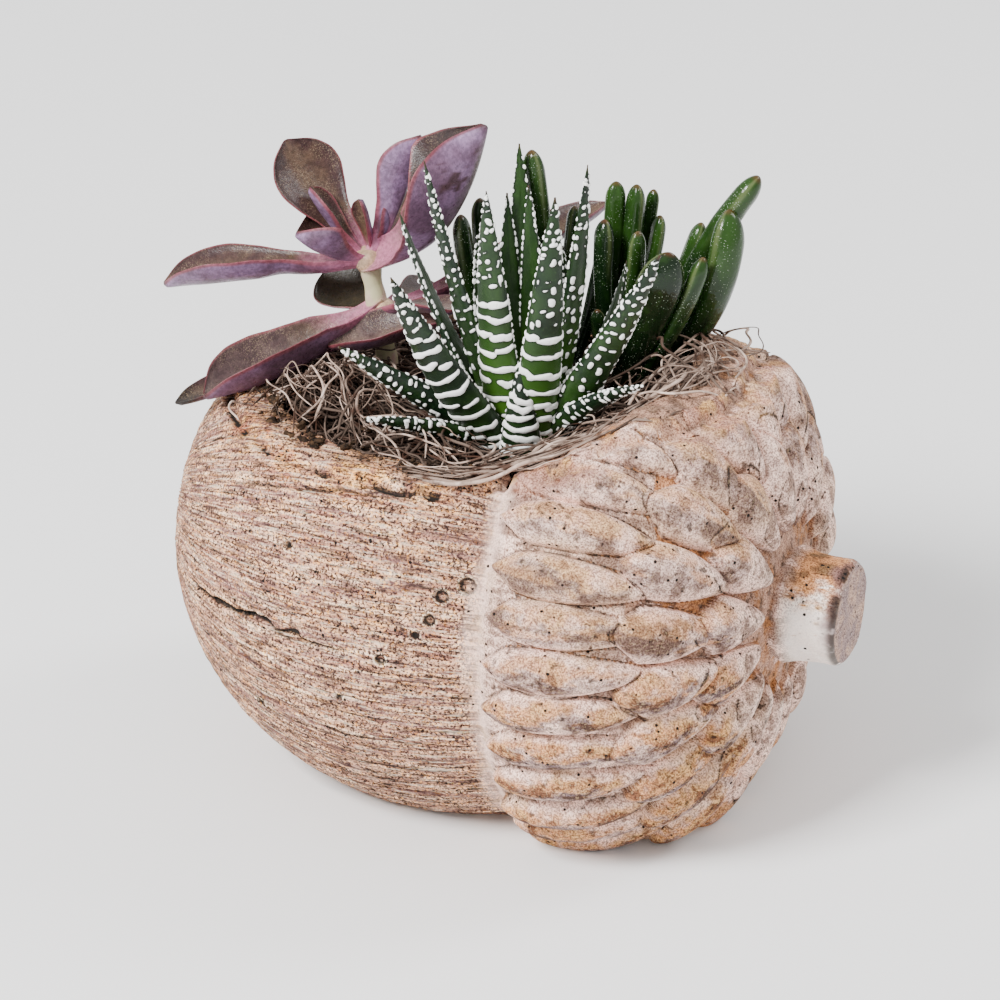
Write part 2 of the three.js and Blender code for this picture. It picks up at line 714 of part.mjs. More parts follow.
function mossStrand(random) {
  const steps = 7;
  let heading = random() * 2 * Math.PI;
  let x = -66 + 100 * random();
  let y = -34 + 68 * random();
  const points = [];
  for (let i = 0; i <= steps; i += 1) {
    const isEnd = i % steps === 0;
    points.push(new THREE.Vector3(x, y, mossHeight(x, y) + (isEnd ? -2 : 4 * random())));
    heading += 0.9 * (random() - 0.3);
    x += 6 * Math.cos(heading);
    y += 6 * Math.sin(heading);
  }
  const curve = new THREE.CatmullRomCurve3(points);
  const frames = curve.computeFrenetFrames(steps, false);
  const rings = Array.from({ length: steps + 1 }, (_, i) => {
    const centre = curve.getPointAt(i / steps);
    return [0, 1, 2].map((k) => {
      const angle = (2 * Math.PI * k) / 3;
      return centre
        .clone()
        .addScaledVector(frames.normals[i], Math.cos(angle))
        .addScaledVector(frames.binormals[i], Math.sin(angle));
    });
  });
  return skin(rings);
}

// The moss fills the hollow above the soil and spreads over the rim, short of its outer edge.
function mossMat(plantRoom) {
  const [columns, rows] = MOSS_GRID;
  const { left, right, front, back } = AREA;
  const heaped = terrain(left, right, front, back, columns, rows, 80, mossHeight);
  const overRim = hollow(-MOSS_SPREAD).intersect(slice(CLEARANCE));
  const random = seededRandom(11);
  const strands = Array.from({ length: 12 }, () => mossStrand(random).intersect(slice(CLEARANCE)));
  const bed = hollow(CLEARANCE).add(overRim);
  const tangle = joined([heaped.intersect(bed), ...strands]).subtract(ground(CLEARANCE, 1, 60));
  return largestBody(tangle.subtract(joined(plantRoom)));
}

// ---- the part ----
const part = new THREE.Group();

function place(name, solid, colour, roughness) {
  const mesh = solid.getMesh();
  const geometry = new THREE.BufferGeometry();
  const positions = new Float32Array(mesh.numVert * 3);
  for (let i = 0; i < mesh.numVert; i += 1) {
    const from = i * mesh.numProp;
    positions.set(mesh.vertProperties.subarray(from, from + 3), i * 3);
  }
  geometry.setAttribute("position", new THREE.BufferAttribute(positions, 3));
  geometry.setIndex(new THREE.BufferAttribute(mesh.triVerts, 1));
  geometry.computeVertexNormals();
  const material = new THREE.MeshStandardMaterial({ color: colour, roughness, metalness: 0 });
  const made = new THREE.Mesh(geometry, material);
  made.name = name;
  part.add(made);
}

const stemHoles = [
  crown(HAWORTHIA_CROWN, 9, 9, 6, 2 * CLEARANCE),
  echeveriaStem(CLEARANCE),
  ...CRASSULA_SHOOTS.map(({ foot }) => tube(foot, offset(foot, [0, 0, 30]), SHOOT_RADIUS + CLEARANCE, 8)),
];

// Room in the moss: a cone round each clump of leaves, and the lie of each low leaf.
const LEAF_ROOM = 1.1;
const BURIED_HAWORTHIA_LEAVES = HAWORTHIA_LEAVES.filter(({ reach }) => reach[2] < 35);
const plantRoom = [
  upright(HAWORTHIA_CROWN[0], HAWORTHIA_CROWN[1], [
    [HAWORTHIA_CROWN[2] - 8, 15],
    [HAWORTHIA_CROWN[2] + 30, 23],
  ]),
  ...CRASSULA_SHOOTS.map(({ foot, leaves }) => {
    const middle = [0, 1, 2].map((k) => leaves.reduce((sum, { tip }) => sum + tip[k], 0) / leaves.length);
    return tube(offset(foot, [0, 0, -4]), middle, 4.4, 8, 20);
  }),
  echeveriaStem(LEAF_ROOM),
  ...BURIED_HAWORTHIA_LEAVES.map((spec) => haworthiaLeaf(spec, LEAF_ROOM, PLAIN)),
  ...LOWER_LEAVES.slice(0, 3).map((spec) => spoonLeaf(spec, LOWER_HUB, LEAF_ROOM, PLAIN)),
];

place("planter", planter(), "#c9b398", 0.9);
place("soil", stemHoles.reduce((soil, hole) => soil.subtract(hole), soilBody()), "#3a2a20", 1);
place("moss", mossMat(plantRoom), "#8d7a66", 0.95);
place("echeveria_stem", echeveriaStem(), "#d9d8b8", 0.5);
[
  ["echeveria_rosette", UPPER_LEAVES, UPPER_HUB],
  ["echeveria_lower_leaves", LOWER_LEAVES, LOWER_HUB],
].forEach(([name, leaves, hub]) => {
  const grown = whorl(leaves, hub).subtract(echeveriaStem(CLEARANCE));
  place(name, largestBody(grown), "#8d6076", 0.45);
});
place("haworthia_rosette", haworthia(), "#2c5a34", 0.45);
CRASSULA_SHOOTS.forEach((shoot, i) => {
  place("crassula_shoot_" + (i + 1), crassulaShoot(shoot), "#2f6b33", 0.35);
});

export default part;
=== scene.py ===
"""Succulents in a concrete planter shaped like an acorn that lies on its side.

Lengths are in millimetres up to mesh_object, which turns them into metres. The floor and the lights are
given in metres, and the scales of the materials' patterns per metre.
"""

import math

import bpy
import numpy as np
from mathutils import Matrix, Vector


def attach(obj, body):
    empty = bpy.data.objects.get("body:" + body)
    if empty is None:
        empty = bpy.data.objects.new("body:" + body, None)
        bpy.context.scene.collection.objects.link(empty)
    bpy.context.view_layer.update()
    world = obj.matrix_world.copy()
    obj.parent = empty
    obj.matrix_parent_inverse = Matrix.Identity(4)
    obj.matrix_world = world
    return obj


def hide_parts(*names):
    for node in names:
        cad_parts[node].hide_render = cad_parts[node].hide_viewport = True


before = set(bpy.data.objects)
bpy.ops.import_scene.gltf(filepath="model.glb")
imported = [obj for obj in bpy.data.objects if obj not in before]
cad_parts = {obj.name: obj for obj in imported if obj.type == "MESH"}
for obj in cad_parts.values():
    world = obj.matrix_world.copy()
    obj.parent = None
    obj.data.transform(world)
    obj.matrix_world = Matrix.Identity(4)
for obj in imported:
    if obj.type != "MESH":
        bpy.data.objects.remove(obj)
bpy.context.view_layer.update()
MM = 0.001


# ---- noise ----
LATTICE = np.random.default_rng(5).random((32, 32, 32))


def value_noise(p, seed=0):
    """Smooth noise from 0 to 1 at points p. Its period is 32."""
    p = np.asarray(p, float) + np.array([7.31, 3.17, 5.73]) * (seed + 1)
    cell = np.floor(p).astype(int)
    f = p - cell
    f = f * f * (3 - 2 * f)
    total = np.zeros(p.shape[:-1])
    for corner in range(8):
        step = np.array([corner & 1, (corner >> 1) & 1, corner >> 2])
        at = (cell + step) % 32
        weight = np.where(step == 1, f, 1 - f).prod(-1)
        total += weight * LATTICE[at[..., 0], at[..., 1], at[..., 2]]
    return total


def fractal(p, octaves=4, gain=0.5, seed=0):
    """Layered noise, about -1 to 1."""
    total, amplitude, norm = 0.0, 1.0, 0.0
    for octave in range(octaves):
        total = total + amplitude * (2 * value_noise(np.asarray(p) * 2.03**octave, seed + octave) - 1)
        norm += amplitude
        amplitude *= gain
    return total / norm * 1.6


def smoothstep(low, high, x):
    t = np.clip((x - low) / (high - low), 0, 1)
    return t * t * (3 - 2 * t)


def mix(a, b, t):
    """Blends colours, or columns of colours, by t."""
    t = np.asarray(t)[..., None]
    return np.asarray(a) * (1 - t) + np.asarray(b) * t


def hermite(keys, values, at):
    """Smooth curve through keyed values."""
    slope = np.gradient(values, keys)
    i = np.clip(np.searchsorted(keys, at, side="right") - 1, 0, len(keys) - 2)
    span = keys[i + 1] - keys[i]
    t = np.clip((at - keys[i]) / span, 0, 1)
    a = (1 + 2 * t) * (1 - t) ** 2
    b = t * (1 - t) ** 2 * span
    return a * values[i] + b * slope[i] + (1 - a) * values[i + 1] - t * t * (1 - t) * span * slope[i + 1]


def coats(colour, *layers):
    """Lays tones over a colour, each given with how much of it shows."""
    for tone, much in layers:
        colour = mix(colour, tone, much)
    return colour


def bell(x, width):
    return np.exp(-((x / width) ** 2))


def joined(*parts):
    """Puts arrays side by side in a last axis, each spread to the shape of all."""
    return np.stack(np.broadcast_arrays(*parts), -1)


def circle(count):
    """Angles round a full turn."""
    return 2 * math.pi * np.arange(count) / count


def turned(x, radius, angle):
    """Points of a body turned about the X axis, at angles from the top."""
    return joined(x, -radius * np.sin(angle), radius * np.cos(angle))


def disc(z, radius, count):
    """Rings of a small body turned about the Z axis."""
    angle = circle(count)
    return joined(radius[:, None] * np.cos(angle), radius[:, None] * np.sin(angle), z[:, None])


# ---- meshes ----
def mesh_object(name, points, faces):
    points = np.asarray(points, np.float32).reshape(-1, 3) * MM
    sizes = np.concatenate([np.full(len(f), f.shape[1]) for f in faces])
    corners = np.concatenate([f.ravel() for f in faces]).astype(np.int32)
    mesh = bpy.data.meshes.new(name)
    mesh.vertices.add(len(points))
    mesh.vertices.foreach_set("co", points.ravel())
    mesh.loops.add(len(corners))
    mesh.loops.foreach_set("vertex_index", corners)
    mesh.polygons.add(len(sizes))
    starts = np.concatenate([[0], np.cumsum(sizes)[:-1]]).astype(np.int32)
    mesh.polygons.foreach_set("loop_start", starts)
    mesh.update(calc_edges=True)
    mesh.validate()
    smooth(mesh)
    obj = bpy.data.objects.new(name, mesh)
    bpy.context.scene.collection.objects.link(obj)
    return obj


def smooth(mesh):
    mesh.polygons.foreach_set("use_smooth", np.ones(len(mesh.polygons), bool))
    mesh.update()


def volume_sign(points, quads):
    a, b, c, d = (points[quads[:, k]] for k in range(4))
    total = np.einsum("ij,ij->i", a, np.cross(b, c)) + np.einsum("ij,ij->i", a, np.cross(c, d))
    return 1 if total.sum() >= 0 else -1


def skin(rings):
    """Points and faces of a closed skin over an array of rings, (ring, point, xyz)."""
    n, m = rings.shape[:2]
    ids = np.arange(n * m).reshape(n, m)
    after = np.roll(ids, -1, axis=1)
    quads = np.stack([ids[:-1], after[:-1], after[1:], ids[1:]], -1).reshape(-1, 4)
    points = np.concatenate([rings.reshape(-1, 3), rings[0].mean(0)[None], rings[-1].mean(0)[None]])
    low = np.stack([after[0], ids[0], np.full(m, n * m)], -1)
    high = np.stack([ids[-1], after[-1], np.full(m, n * m + 1)], -1)
    if volume_sign(points, quads) < 0:
        quads, low, high = quads[:, ::-1], low[:, ::-1], high[:, ::-1]
    return points, [quads, np.concatenate([low, high])]


class Heap:
    """Gathers many skins, with values for each point, into one mesh."""

    def __init__(self):
        self.points, self.quads, self.triangles, self.values, self.count = [], [], [], {}, 0

    def add(self, rings, **values):
        points, (quads, triangles) = skin(rings)
        self.points.append(points)
        self.quads.append(quads + self.count)
        self.triangles.append(triangles + self.count)
        self.count += len(points)
        for key, value in values.items():
            value = np.asarray(value, float)
            ends = np.stack([value[0].mean(0), value[-1].mean(0)])
            flat = value.reshape(-1, *value.shape[2:])
            self.values.setdefault(key, []).append(np.concatenate([flat, ends]))

    def build(self, name):
        faces = [np.concatenate(self.quads), np.concatenate(self.triangles)]
        obj = mesh_object(name, np.concatenate(self.points), faces)
        for key, parts in self.values.items():
            paint(obj.data, key, np.concatenate(parts))
        return obj


def paint(mesh, name, values):
    """Keeps a number or a colour for each point."""
    values = np.asarray(values, np.float32)
    if values.ndim == 1:
        mesh.attributes.new(name, "FLOAT", "POINT").data.foreach_set("value", values)
        return
    rgba = np.concatenate([np.clip(values, 0, 1), np.ones((len(values), 1), np.float32)], 1)
    mesh.color_attributes.new(name, "FLOAT_COLOR", "POINT").data.foreach_set("color", rgba.ravel())


def lay(mesh, name, vectors):
    """Keeps a vector for each point."""
    made = mesh.attributes.new(name, "FLOAT_VECTOR", "POINT")
    made.data.foreach_set("vector", np.asarray(vectors, np.float32).ravel())


def read(mesh, key):
    """The place ("co") or the "normal" of each point, as the mesh holds it."""
    flat = np.zeros(len(mesh.vertices) * 3, np.float32)
    mesh.vertices.foreach_get(key, flat)
    return flat.reshape(-1, 3).astype(float)


def combine(obj, tool, operation):
    """Cuts obj by tool, or keeps what they share, and throws the tool away."""
    modifier = obj.modifiers.new("cut", "BOOLEAN")
    modifier.object = tool
    modifier.operation = operation
    modifier.solver = "MANIFOLD"
    bpy.context.view_layer.update()
    made = bpy.data.meshes.new_from_object(obj.evaluated_get(bpy.context.evaluated_depsgraph_get()))
    obj.modifiers.clear()
    obj.data = made
    bpy.data.objects.remove(tool)
    smooth(made)


def terrain(name, xs, ys, heights, far):
    """A block between a field of heights, (x, y), and a level plane."""
    nx, ny = len(xs), len(ys)
    gx, gy = np.meshgrid(xs, ys, indexing="ij")
    near = np.stack([gx, gy, heights], -1)
    away = np.stack([gx, gy, np.full_like(gx, far)], -1)
    ids = np.arange(nx * ny).reshape(nx, ny)
    top = np.stack([ids[:-1, :-1], ids[1:, :-1], ids[1:, 1:], ids[:-1, 1:]], -1).reshape(-1, 4)
    bottom = top[:, ::-1] + nx * ny
    rim = np.concatenate([ids[:-1, 0], ids[-1, :-1], ids[:0:-1, -1], ids[0, :0:-1]])
    after = np.roll(rim, -1)
    side = np.stack([rim, rim + nx * ny, after + nx * ny, after], -1)
    faces = [np.concatenate([top, bottom, side])]
    if far > heights.mean():
        faces = [faces[0][:, ::-1]]
    return mesh_object(name, np.stack([near, away]).reshape(-1, 3), faces)


# ---- materials ----
class Shader:
    """A procedural material. Each call adds a node and returns its output."""

    def __init__(self, name):
        self.material = bpy.data.materials.new(name)
        self.material.use_nodes = True
        self.tree = self.material.node_tree
        self.surface = next(n for n in self.tree.nodes if n.type == "BSDF_PRINCIPLED")
        self.place = self.node("ShaderNodeTexCoord").outputs["Object"]

    def node(self, kind, **settings):
        made = self.tree.nodes.new(kind)
        for key, value in settings.items():
            setattr(made, key, value)
        return made

    def feed(self, socket, value):
        if isinstance(value, bpy.types.NodeSocket):
            self.tree.links.new(value, socket)
        elif isinstance(value, (tuple, list)) and len(value) == 3 and socket.type == "RGBA":
            socket.default_value = (*value, 1)
        else:
            socket.default_value = value

    def math(self, operation, a, b):
        made = self.node("ShaderNodeMath", operation=operation)
        self.feed(made.inputs[0], a)
        self.feed(made.inputs[1], b)
        return made.outputs[0]

    def plus(self, a, b):
        return self.math("ADD", a, b)

    def minus(self, a, b):
        return self.math("SUBTRACT", a, b)

    def times(self, a, b):
        return self.math("MULTIPLY", a, b)

    def ramp(self, value, low, high, start=0.0, end=1.0):
        made = self.node("ShaderNodeMapRange", interpolation_type="SMOOTHSTEP")
        for socket, number in zip(made.inputs[:5], (value, low, high, start, end)):
            self.feed(socket, number)
        return made.outputs[0]

    def blend(self, a, b, factor, kind="MIX"):
        made = self.node("ShaderNodeMix", data_type="RGBA", blend_type=kind)
        self.feed(made.inputs[0], factor)
        self.feed(made.inputs[6], a)
        self.feed(made.inputs[7], b)
        return made.outputs[2]

    def shades(self, value, dark, bright, low, high):
        return self.blend(dark, bright, self.ramp(value, low, high))

    def noise(self, scale, detail=3.0, roughness=0.55, where=None):
        made = self.node("ShaderNodeTexNoise")
        self.feed(made.inputs["Vector"], where or self.place)
        self.feed(made.inputs["Scale"], scale)
        self.feed(made.inputs["Detail"], detail)
        self.feed(made.inputs["Roughness"], roughness)
        return made.outputs["Fac"]

    def cells(self, scale):
        """Distance to the nearest of many scattered points."""
        made = self.node("ShaderNodeTexVoronoi")
        self.feed(made.inputs["Vector"], self.place)
        self.feed(made.inputs["Scale"], scale)
        return made.outputs["Distance"]

    def kept(self, name, output):
        """What paint or lay kept for each point."""
        return self.node("ShaderNodeAttribute", attribute_name=name).outputs[output]

    def value(self, name):
        return self.kept(name, "Fac")

    def colour(self, name):
        return self.kept(name, "Color")

    def bump(self, height, distance):
        made = self.node("ShaderNodeBump")
        self.feed(made.inputs["Height"], height)
        made.inputs["Distance"].default_value = distance * MM
        made.inputs["Strength"].default_value = 1.0
        self.tree.links.new(made.outputs[0], self.surface.inputs["Normal"])

    def finish(self, colour, roughness, shine):
        for name, value in (("Base Color", colour), ("Roughness", roughness), ("Specular IOR Level", shine)):
            self.feed(self.surface.inputs[name], value)
        return self.material


def dress(obj, material, nodes):
    obj.data.materials.clear()
    obj.data.materials.append(material)
    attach(obj, "root")
    if nodes:
        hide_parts(*nodes)


# ---- planter ----
AXIS = 62.0
JUNCTION = 20.0
NUT_CENTRE, NUT_RADIUS, NUT_TIP_REACH, NUT_CAP_REACH = JUNCTION - 34, 74.3, 82.0, 89.0
NIB_ROOT, NIB_LENGTH, NIB_RADIUS = NUT_CENTRE - NUT_TIP_REACH + 4, 9.7, 9.0
CAP_CENTRE, CAP_RADIUS, CAP_REACH, CAP_POWER = JUNCTION + 10, 74.4, 52.0, 2.25
STEM_RADIUS, STEM_END, STEM_WEAR = 14.2, JUNCTION + 78, 2.4
# The cap's colour turns into the stem's between the first two of these x. The cut rim ends at the third.
STEM_FROM, STEM_FULL, RIM_END = 81, 86, 80
# Stands in the place of a distance from the cap's lip for the stem, which has no scales.
OFF_CAP = 999.0
PLANTER_COLUMNS = 1200
WALL, FLOOR = 8.0, 11.0
SLICE_X = JUNCTION + np.array([-140, -10, 5, 19, 27, 60.0])
SLICE_Z = AXIS + np.array([46.5, 46.5, 52, 58.5, 62, 60.5])
BACK_FALL_FROM, BACK_FALL_HEIGHT, BACK_FALL_SLOPE = 15.0, 62.5, math.tan(math.radians(15.6))
# Rows of scales: how many there are, where they start and end from the cap's lip, and their height.
SCALE_ROWS = (
    dict(count=36, tip=1.5, root=47.0, height=5.3, phase=0.0),
    dict(count=24, tip=36.0, root=72.0, height=6.3, phase=0.5),
    dict(count=16, tip=60.0, root=90.0, height=5.9, phase=0.25),
)
# Depth of the grooves, depth of the cuts in them, and where a scale's crest lies across it.
GROOVE, CUT, CREST = -2.2, 1.1, -0.14
# Radius at which the scales' widths are worked out.
MEAN_CAP_RADIUS = 66
# Long cracks in the nut: where each starts and ends, as x and degrees from the top, depth and width.
CRACKS = (
    ((-72, 89.6), (-42, 87.0), 2.2, 0.8),
    ((-46, 87.4), (-20, 88.4), 1.5, 0.7),
    ((-60, 57.4), (-36, 56.6), 1.0, 0.5),
    ((-37, 57.0), (-6, 54.4), 1.1, 0.6),
    ((-34, 126.0), (-12, 129.5), 1.1, 0.7),
    ((-14, 129.0), (8, 130.0), 0.9, 0.7),
    ((-52, 108.0), (-22, 110.0), 0.7, 0.5),
    ((-66, 98.0), (-50, 99.0), 0.7, 0.5),
    ((-18, 141.0), (12, 142.0), 0.8, 0.6),
    ((-56, 204.0), (-6, 201.0), 1.2, 1.0),
    ((-40, 262.0), (6, 265.0), 1.4, 0.9),
    ((-66, 300.0), (-30, 303.0), 1.0, 0.8),
)
# Bubbles with a larger radius than this get a dark ring of painted shade, and smaller ones a dark spot of
# painted shade.
RING_FROM = 1.55
# Burst bubbles: x, degrees from the top, radius and depth.
PITS = (
    (-36.8, 68.8, 1.5, 1.0), (8.2, 73.4, 1.9, 1.0), (14.3, 70.2, 2.2, 0.9), (5.7, 78.6, 1.9, 0.8),
    (-7.3, 88.9, 1.6, 1.0), (2.0, 82.4, 1.4, 0.7), (-20.0, 100.0, 1.3, 0.8),
    (-48.0, 112.0, 1.5, 0.8), (-10.0, 250.0, 2.0, 0.9), (-44.0, 280.0, 1.6, 0.9), (4.0, 292.0, 1.8, 0.8),
)


def off_axis(p):
    """Distance of points from the acorn's axis, never 0."""
    return np.hypot(p[:, 1], p[:, 2] - AXIS) + 0.01


def nut_radius(x):
    reach = np.where(x < NUT_CENTRE, NUT_TIP_REACH, NUT_CAP_REACH)
    body = NUT_RADIUS * np.sqrt(np.clip(1 - ((x - NUT_CENTRE) / reach) ** 2, 0, 1))
    v = (x - NIB_ROOT) / -NIB_LENGTH
    nib = np.where(v > 0, NIB_RADIUS * np.sqrt(np.clip(1 - v * v, 0, 1)), 0)
    return np.maximum(body, nib)


def cap_radius(x):
    u = np.clip((x - CAP_CENTRE) / CAP_REACH, 0, 1)
    lip = np.clip(CAP_CENTRE - x, 0, None)
    return (CAP_RADIUS - 0.02 * lip * lip) * (1 - u**CAP_POWER) ** (1 / CAP_POWER)


def cap_distances():
    """Distance along the cap's surface from its lip, by x."""
    turn = np.linspace(0, math.pi / 2, 4001)
    x = JUNCTION + (CAP_CENTRE + CAP_REACH - JUNCTION) * np.sin(turn)
    r = cap_radius(x)
    travelled = np.concatenate([[0], np.cumsum(np.hypot(np.diff(x), np.diff(r)))])
    return x, travelled


CAP_X, CAP_TRAVEL = cap_distances()


def cap_distance(x):
    return np.where(x < JUNCTION, x - JUNCTION, np.interp(x, CAP_X, CAP_TRAVEL))


def outer_profile():
    """The acorn's outline as x, radius and distance from the cap's lip."""
    nib = NIB_ROOT - NIB_LENGTH + NIB_LENGTH * (1 - np.cos(np.linspace(0.05, math.pi / 2.6, 14)))
    left = NUT_CENTRE - NUT_TIP_REACH * np.cos(np.radians(np.linspace(15, 90, 120)))
    right = np.linspace(NUT_CENTRE, JUNCTION - 2.6, 64)[1:]
    seam = np.linspace(JUNCTION - 2.2, JUNCTION + 3, 14)
    cap = np.interp(np.linspace(3.4, CAP_TRAVEL[-1] - 16.5, 230), CAP_TRAVEL, CAP_X)
    x = np.concatenate([nib[nib < left[0] - 0.3], left, right, seam, cap])
    into_cap = smoothstep(JUNCTION - 2.4, JUNCTION + 2.6, x)
    on_nut = nut_radius(np.minimum(x, JUNCTION + 4)) * (1 - into_cap)
    r = on_nut + cap_radius(np.maximum(x, JUNCTION)) * into_cap
    # The cap runs into the stem in a hollow curve, then the stem ends in a worn flat face.
    start = np.array([x[-1], r[-1]])
    bend = np.array([x[-1] + 3.4, STEM_RADIUS + 0.6])
    root = np.array([x[-1] + 9, STEM_RADIUS + 0.2])
    t = np.linspace(0, 1, 16)[1:, None]
    hollow = (1 - t) ** 2 * start + 2 * t * (1 - t) * bend + t * t * root
    shaft_x = np.linspace(root[0] + 0.6, STEM_END - STEM_WEAR, 12)
    shaft = joined(shaft_x, STEM_RADIUS + 0.2 - 0.02 * (shaft_x - root[0]))
    t = np.linspace(0.12, 1, 8) * math.pi / 2
    worn_r = STEM_RADIUS - STEM_WEAR + STEM_WEAR * np.cos(t)
    worn = joined(STEM_END - STEM_WEAR + STEM_WEAR * np.sin(t), worn_r)
    face = joined(STEM_END, np.linspace(STEM_RADIUS - 3, 0.8, 16))
    tail = np.concatenate([hollow, shaft, worn, face])
    distance = np.concatenate([cap_distance(x), np.full(len(tail), OFF_CAP)])
    return np.concatenate([x, tail[:, 0]]), np.concatenate([r, tail[:, 1]]), distance


def scale_field(distance, angle):
    """Relief of the scales, how high a point is on its pillow, its place across and the cuts between."""
    shape = np.broadcast(distance, angle).shape
    relief, share, place = np.full(shape, GROOVE), np.zeros(shape), np.zeros(shape)
    edge, second = np.full(shape, 9.0), np.full(shape, GROOVE)
    for number, row in enumerate(SCALE_ROWS):
        rng = np.random.default_rng(40 + number)
        count = row["count"]
        tall, early, lean = rng.uniform(-1, 1, (3, count))
        turns = angle / (2 * math.pi) * count + row["phase"]
        which = np.floor(turns).astype(int) % count
        start = row["tip"] + 1.6 * early[which] * (number > 0)
        t = (distance - start) / (row["root"] - row["tip"])
        inside = (t > 0) & (t < 1)
        t = np.clip(t, 1e-4, 1 - 1e-4)
        side = 2 * (turns - np.floor(turns)) - 1 + 0.14 * lean[which] * np.sin(math.pi * t)
        half = 1.04 * np.sin(math.pi * t**0.7) ** 0.55
        half = np.minimum(half, 0.16 + 5.2 * t) if number == 0 else np.minimum(half, 0.2 + 3.4 * t)
        inside &= np.abs(side) < half
        # The crest lies a little above the middle of each scale.
        crest = CREST * half
        off = np.where(side < crest, (crest - side) / (crest + half), (side - crest) / (half - crest))
        pillow = (1 - np.clip(off, 0, 1) ** 2.1) ** 0.72
        along = np.sin(math.pi * t**0.6) ** 0.36
        high = np.where(inside, GROOVE + row["height"] * (1 + 0.16 * tall[which]) * pillow * along, GROOVE)
        better = inside & (high > relief)
        second = np.where(better, relief, np.maximum(second, high))
        relief = np.where(better, high, relief)
        share = np.where(better, pillow * along, share)
        place = np.where(better, side / half, place)
        edge = np.where(better, (half - np.abs(side)) * math.pi * MEAN_CAP_RADIUS / count, edge)
    # A cut runs along each scale's own edge and where two scales meet.
    meet = bell(relief - second, 0.5) * smoothstep(GROOVE + 0.25, GROOVE + 0.9, second)
    return relief, share, place, np.maximum(bell(edge, 0.55), meet)


def scars(x, radius, angle):
    """Depth of the cracks and burst bubbles at x and angle from the top, and how dark they are painted with
    shade.
    """
    degrees = np.degrees(angle)
    waver = fractal(joined(x / 5, degrees * 0.12, 0.0), 3, 0.6, seed=14)
    depth, crevice_shade = np.zeros(waver.shape), np.zeros(waver.shape)
    for (x0, a0), (x1, a1), deep, wide in CRACKS:
        t = np.clip((x - x0) / (x1 - x0), 0, 1)
        off = np.abs((degrees - a0 - t * (a1 - a0)) * math.pi / 180 * radius + 0.9 * waver)
        beyond = np.maximum(np.maximum(x0 - x, x - x1), 0)
        taper = 0.4 + 0.6 * np.sin(math.pi * np.clip(t, 0.04, 0.96))
        cut = deep * bell(off, wide * taper * np.clip(1 + 0.5 * waver, 0.6, 1.5)) * np.exp(-beyond)
        depth = np.maximum(depth, cut)
        crevice_shade = np.maximum(crevice_shade, smoothstep(0.3, 1.5, cut))
    for px, pa, wide, deep in PITS:
        gap = np.hypot(x - px, (degrees - pa) * math.pi / 180 * radius) + 0.35 * waver
        bowl = deep * np.clip(1 - (gap / wide) ** 2, 0, 1) ** 0.6 - 0.25 * bell(gap - wide, 0.35)
        depth = np.where(np.abs(bowl) > np.abs(depth), bowl, depth)
        ring = bell(gap - 0.72 * wide, 0.22 * wide) if wide > RING_FROM else smoothstep(wide, 0.5 * wide, gap)
        crevice_shade = np.maximum(crevice_shade, ring * np.clip(1.1 + 0.7 * waver, 0.6, 1))
    return depth, crevice_shade


def meridian(x, radius):
    """Distance along the nut from its middle, for marks that follow it round to the tip."""
    return 78 * np.arctan2(x - NUT_CENTRE, radius)


def planter_surface():
    x, r, distance = outer_profile()
    dx, dr = np.gradient(x), np.gradient(r)
    length = np.hypot(dx, dr)
    nx, nr = -dr / length, dx / length
    angle = circle(PLANTER_COLUMNS)
    relief = np.zeros((len(x), PLANTER_COLUMNS))
    on_cap = (distance >= 0) & (distance < OFF_CAP)
    grid_angle = np.broadcast_to(angle, relief.shape)
    high, _, _, cuts = scale_field(distance[on_cap, None], grid_angle[on_cap])
    ease = smoothstep(-0.5, 2.6, distance[on_cap])[:, None]
    fade = 1 - smoothstep(86, 94, distance[on_cap])[:, None]
    relief[on_cap] = (high - GROOVE) * ease * fade + (GROOVE + 0.4) * ease - CUT * cuts * ease * fade
    centre = turned(x[:, None], r[:, None], angle)
    # Soft lumps everywhere, drawn-out brush marks on the nut, crumbly wear on the cap.
    lumps = 0.24 * fractal(centre / 26, 3, seed=1) + 0.10 * fractal(centre / 5.2, 3, seed=2)
    wrap = turned(0, 62, angle)[None]
    along = meridian(x, r)[:, None, None] * np.array([0.062, 0, 0])
    brush = fractal(along + wrap * [0, 0.8, 0.8], 4, 0.62, seed=3)
    comb = fractal(along * 1.8 + wrap * [0, 1.9, 1.9], 2, 0.6, seed=8)
    scar, _ = scars(x[:, None], r[:, None], angle[None])
    on_nut = (1 - smoothstep(JUNCTION - 5, JUNCTION + 1, x))[:, None] * smoothstep(-104, -88, x)[:, None]
    grain = fractal(centre / 1.7, 3, 0.6, seed=5)
    relief += lumps + on_nut * (0.24 * brush + 0.19 * comb - scar + 0.06 * grain) + 0.05 * grain
    pits = smoothstep(0.66, 0.95, fractal(centre / 2.0, 2, 0.5, seed=31))
    relief -= (0.22 + 0.28 * on_nut) * pits
    flat_end = smoothstep(STEM_END - 0.5, STEM_END, x)[:, None] * (np.abs(nx)[:, None] > 0.9)
    relief += flat_end * (0.5 * fractal(centre / 5, 3, seed=12) - 0.6)
    on_stem = smoothstep(JUNCTION + 64, JUNCTION + 68, x)[:, None] * (1 - flat_end)
    relief += on_stem * 0.35 * fractal(centre / 8, 2, 0.6, seed=13)
    full = r[:, None] + nr[:, None] * relief
    full = np.where(r[:, None] < 1.5, r[:, None], full)
    xs = x[:, None] + nx[:, None] * relief
    return turned(xs, full, angle) + [0, 0, AXIS]


def slice_height(x, y):
    """Height of the slice through the top. It falls off towards the back."""
    front = np.interp(x, SLICE_X, SLICE_Z)
    back = AXIS + BACK_FALL_HEIGHT - BACK_FALL_SLOPE * (y - BACK_FALL_FROM)
    return np.where(y > BACK_FALL_FROM, np.minimum(front, back), front)


def outer_radius(x):
    return np.where(x < JUNCTION, nut_radius(x), cap_radius(np.maximum(x, JUNCTION)) + 0.8)


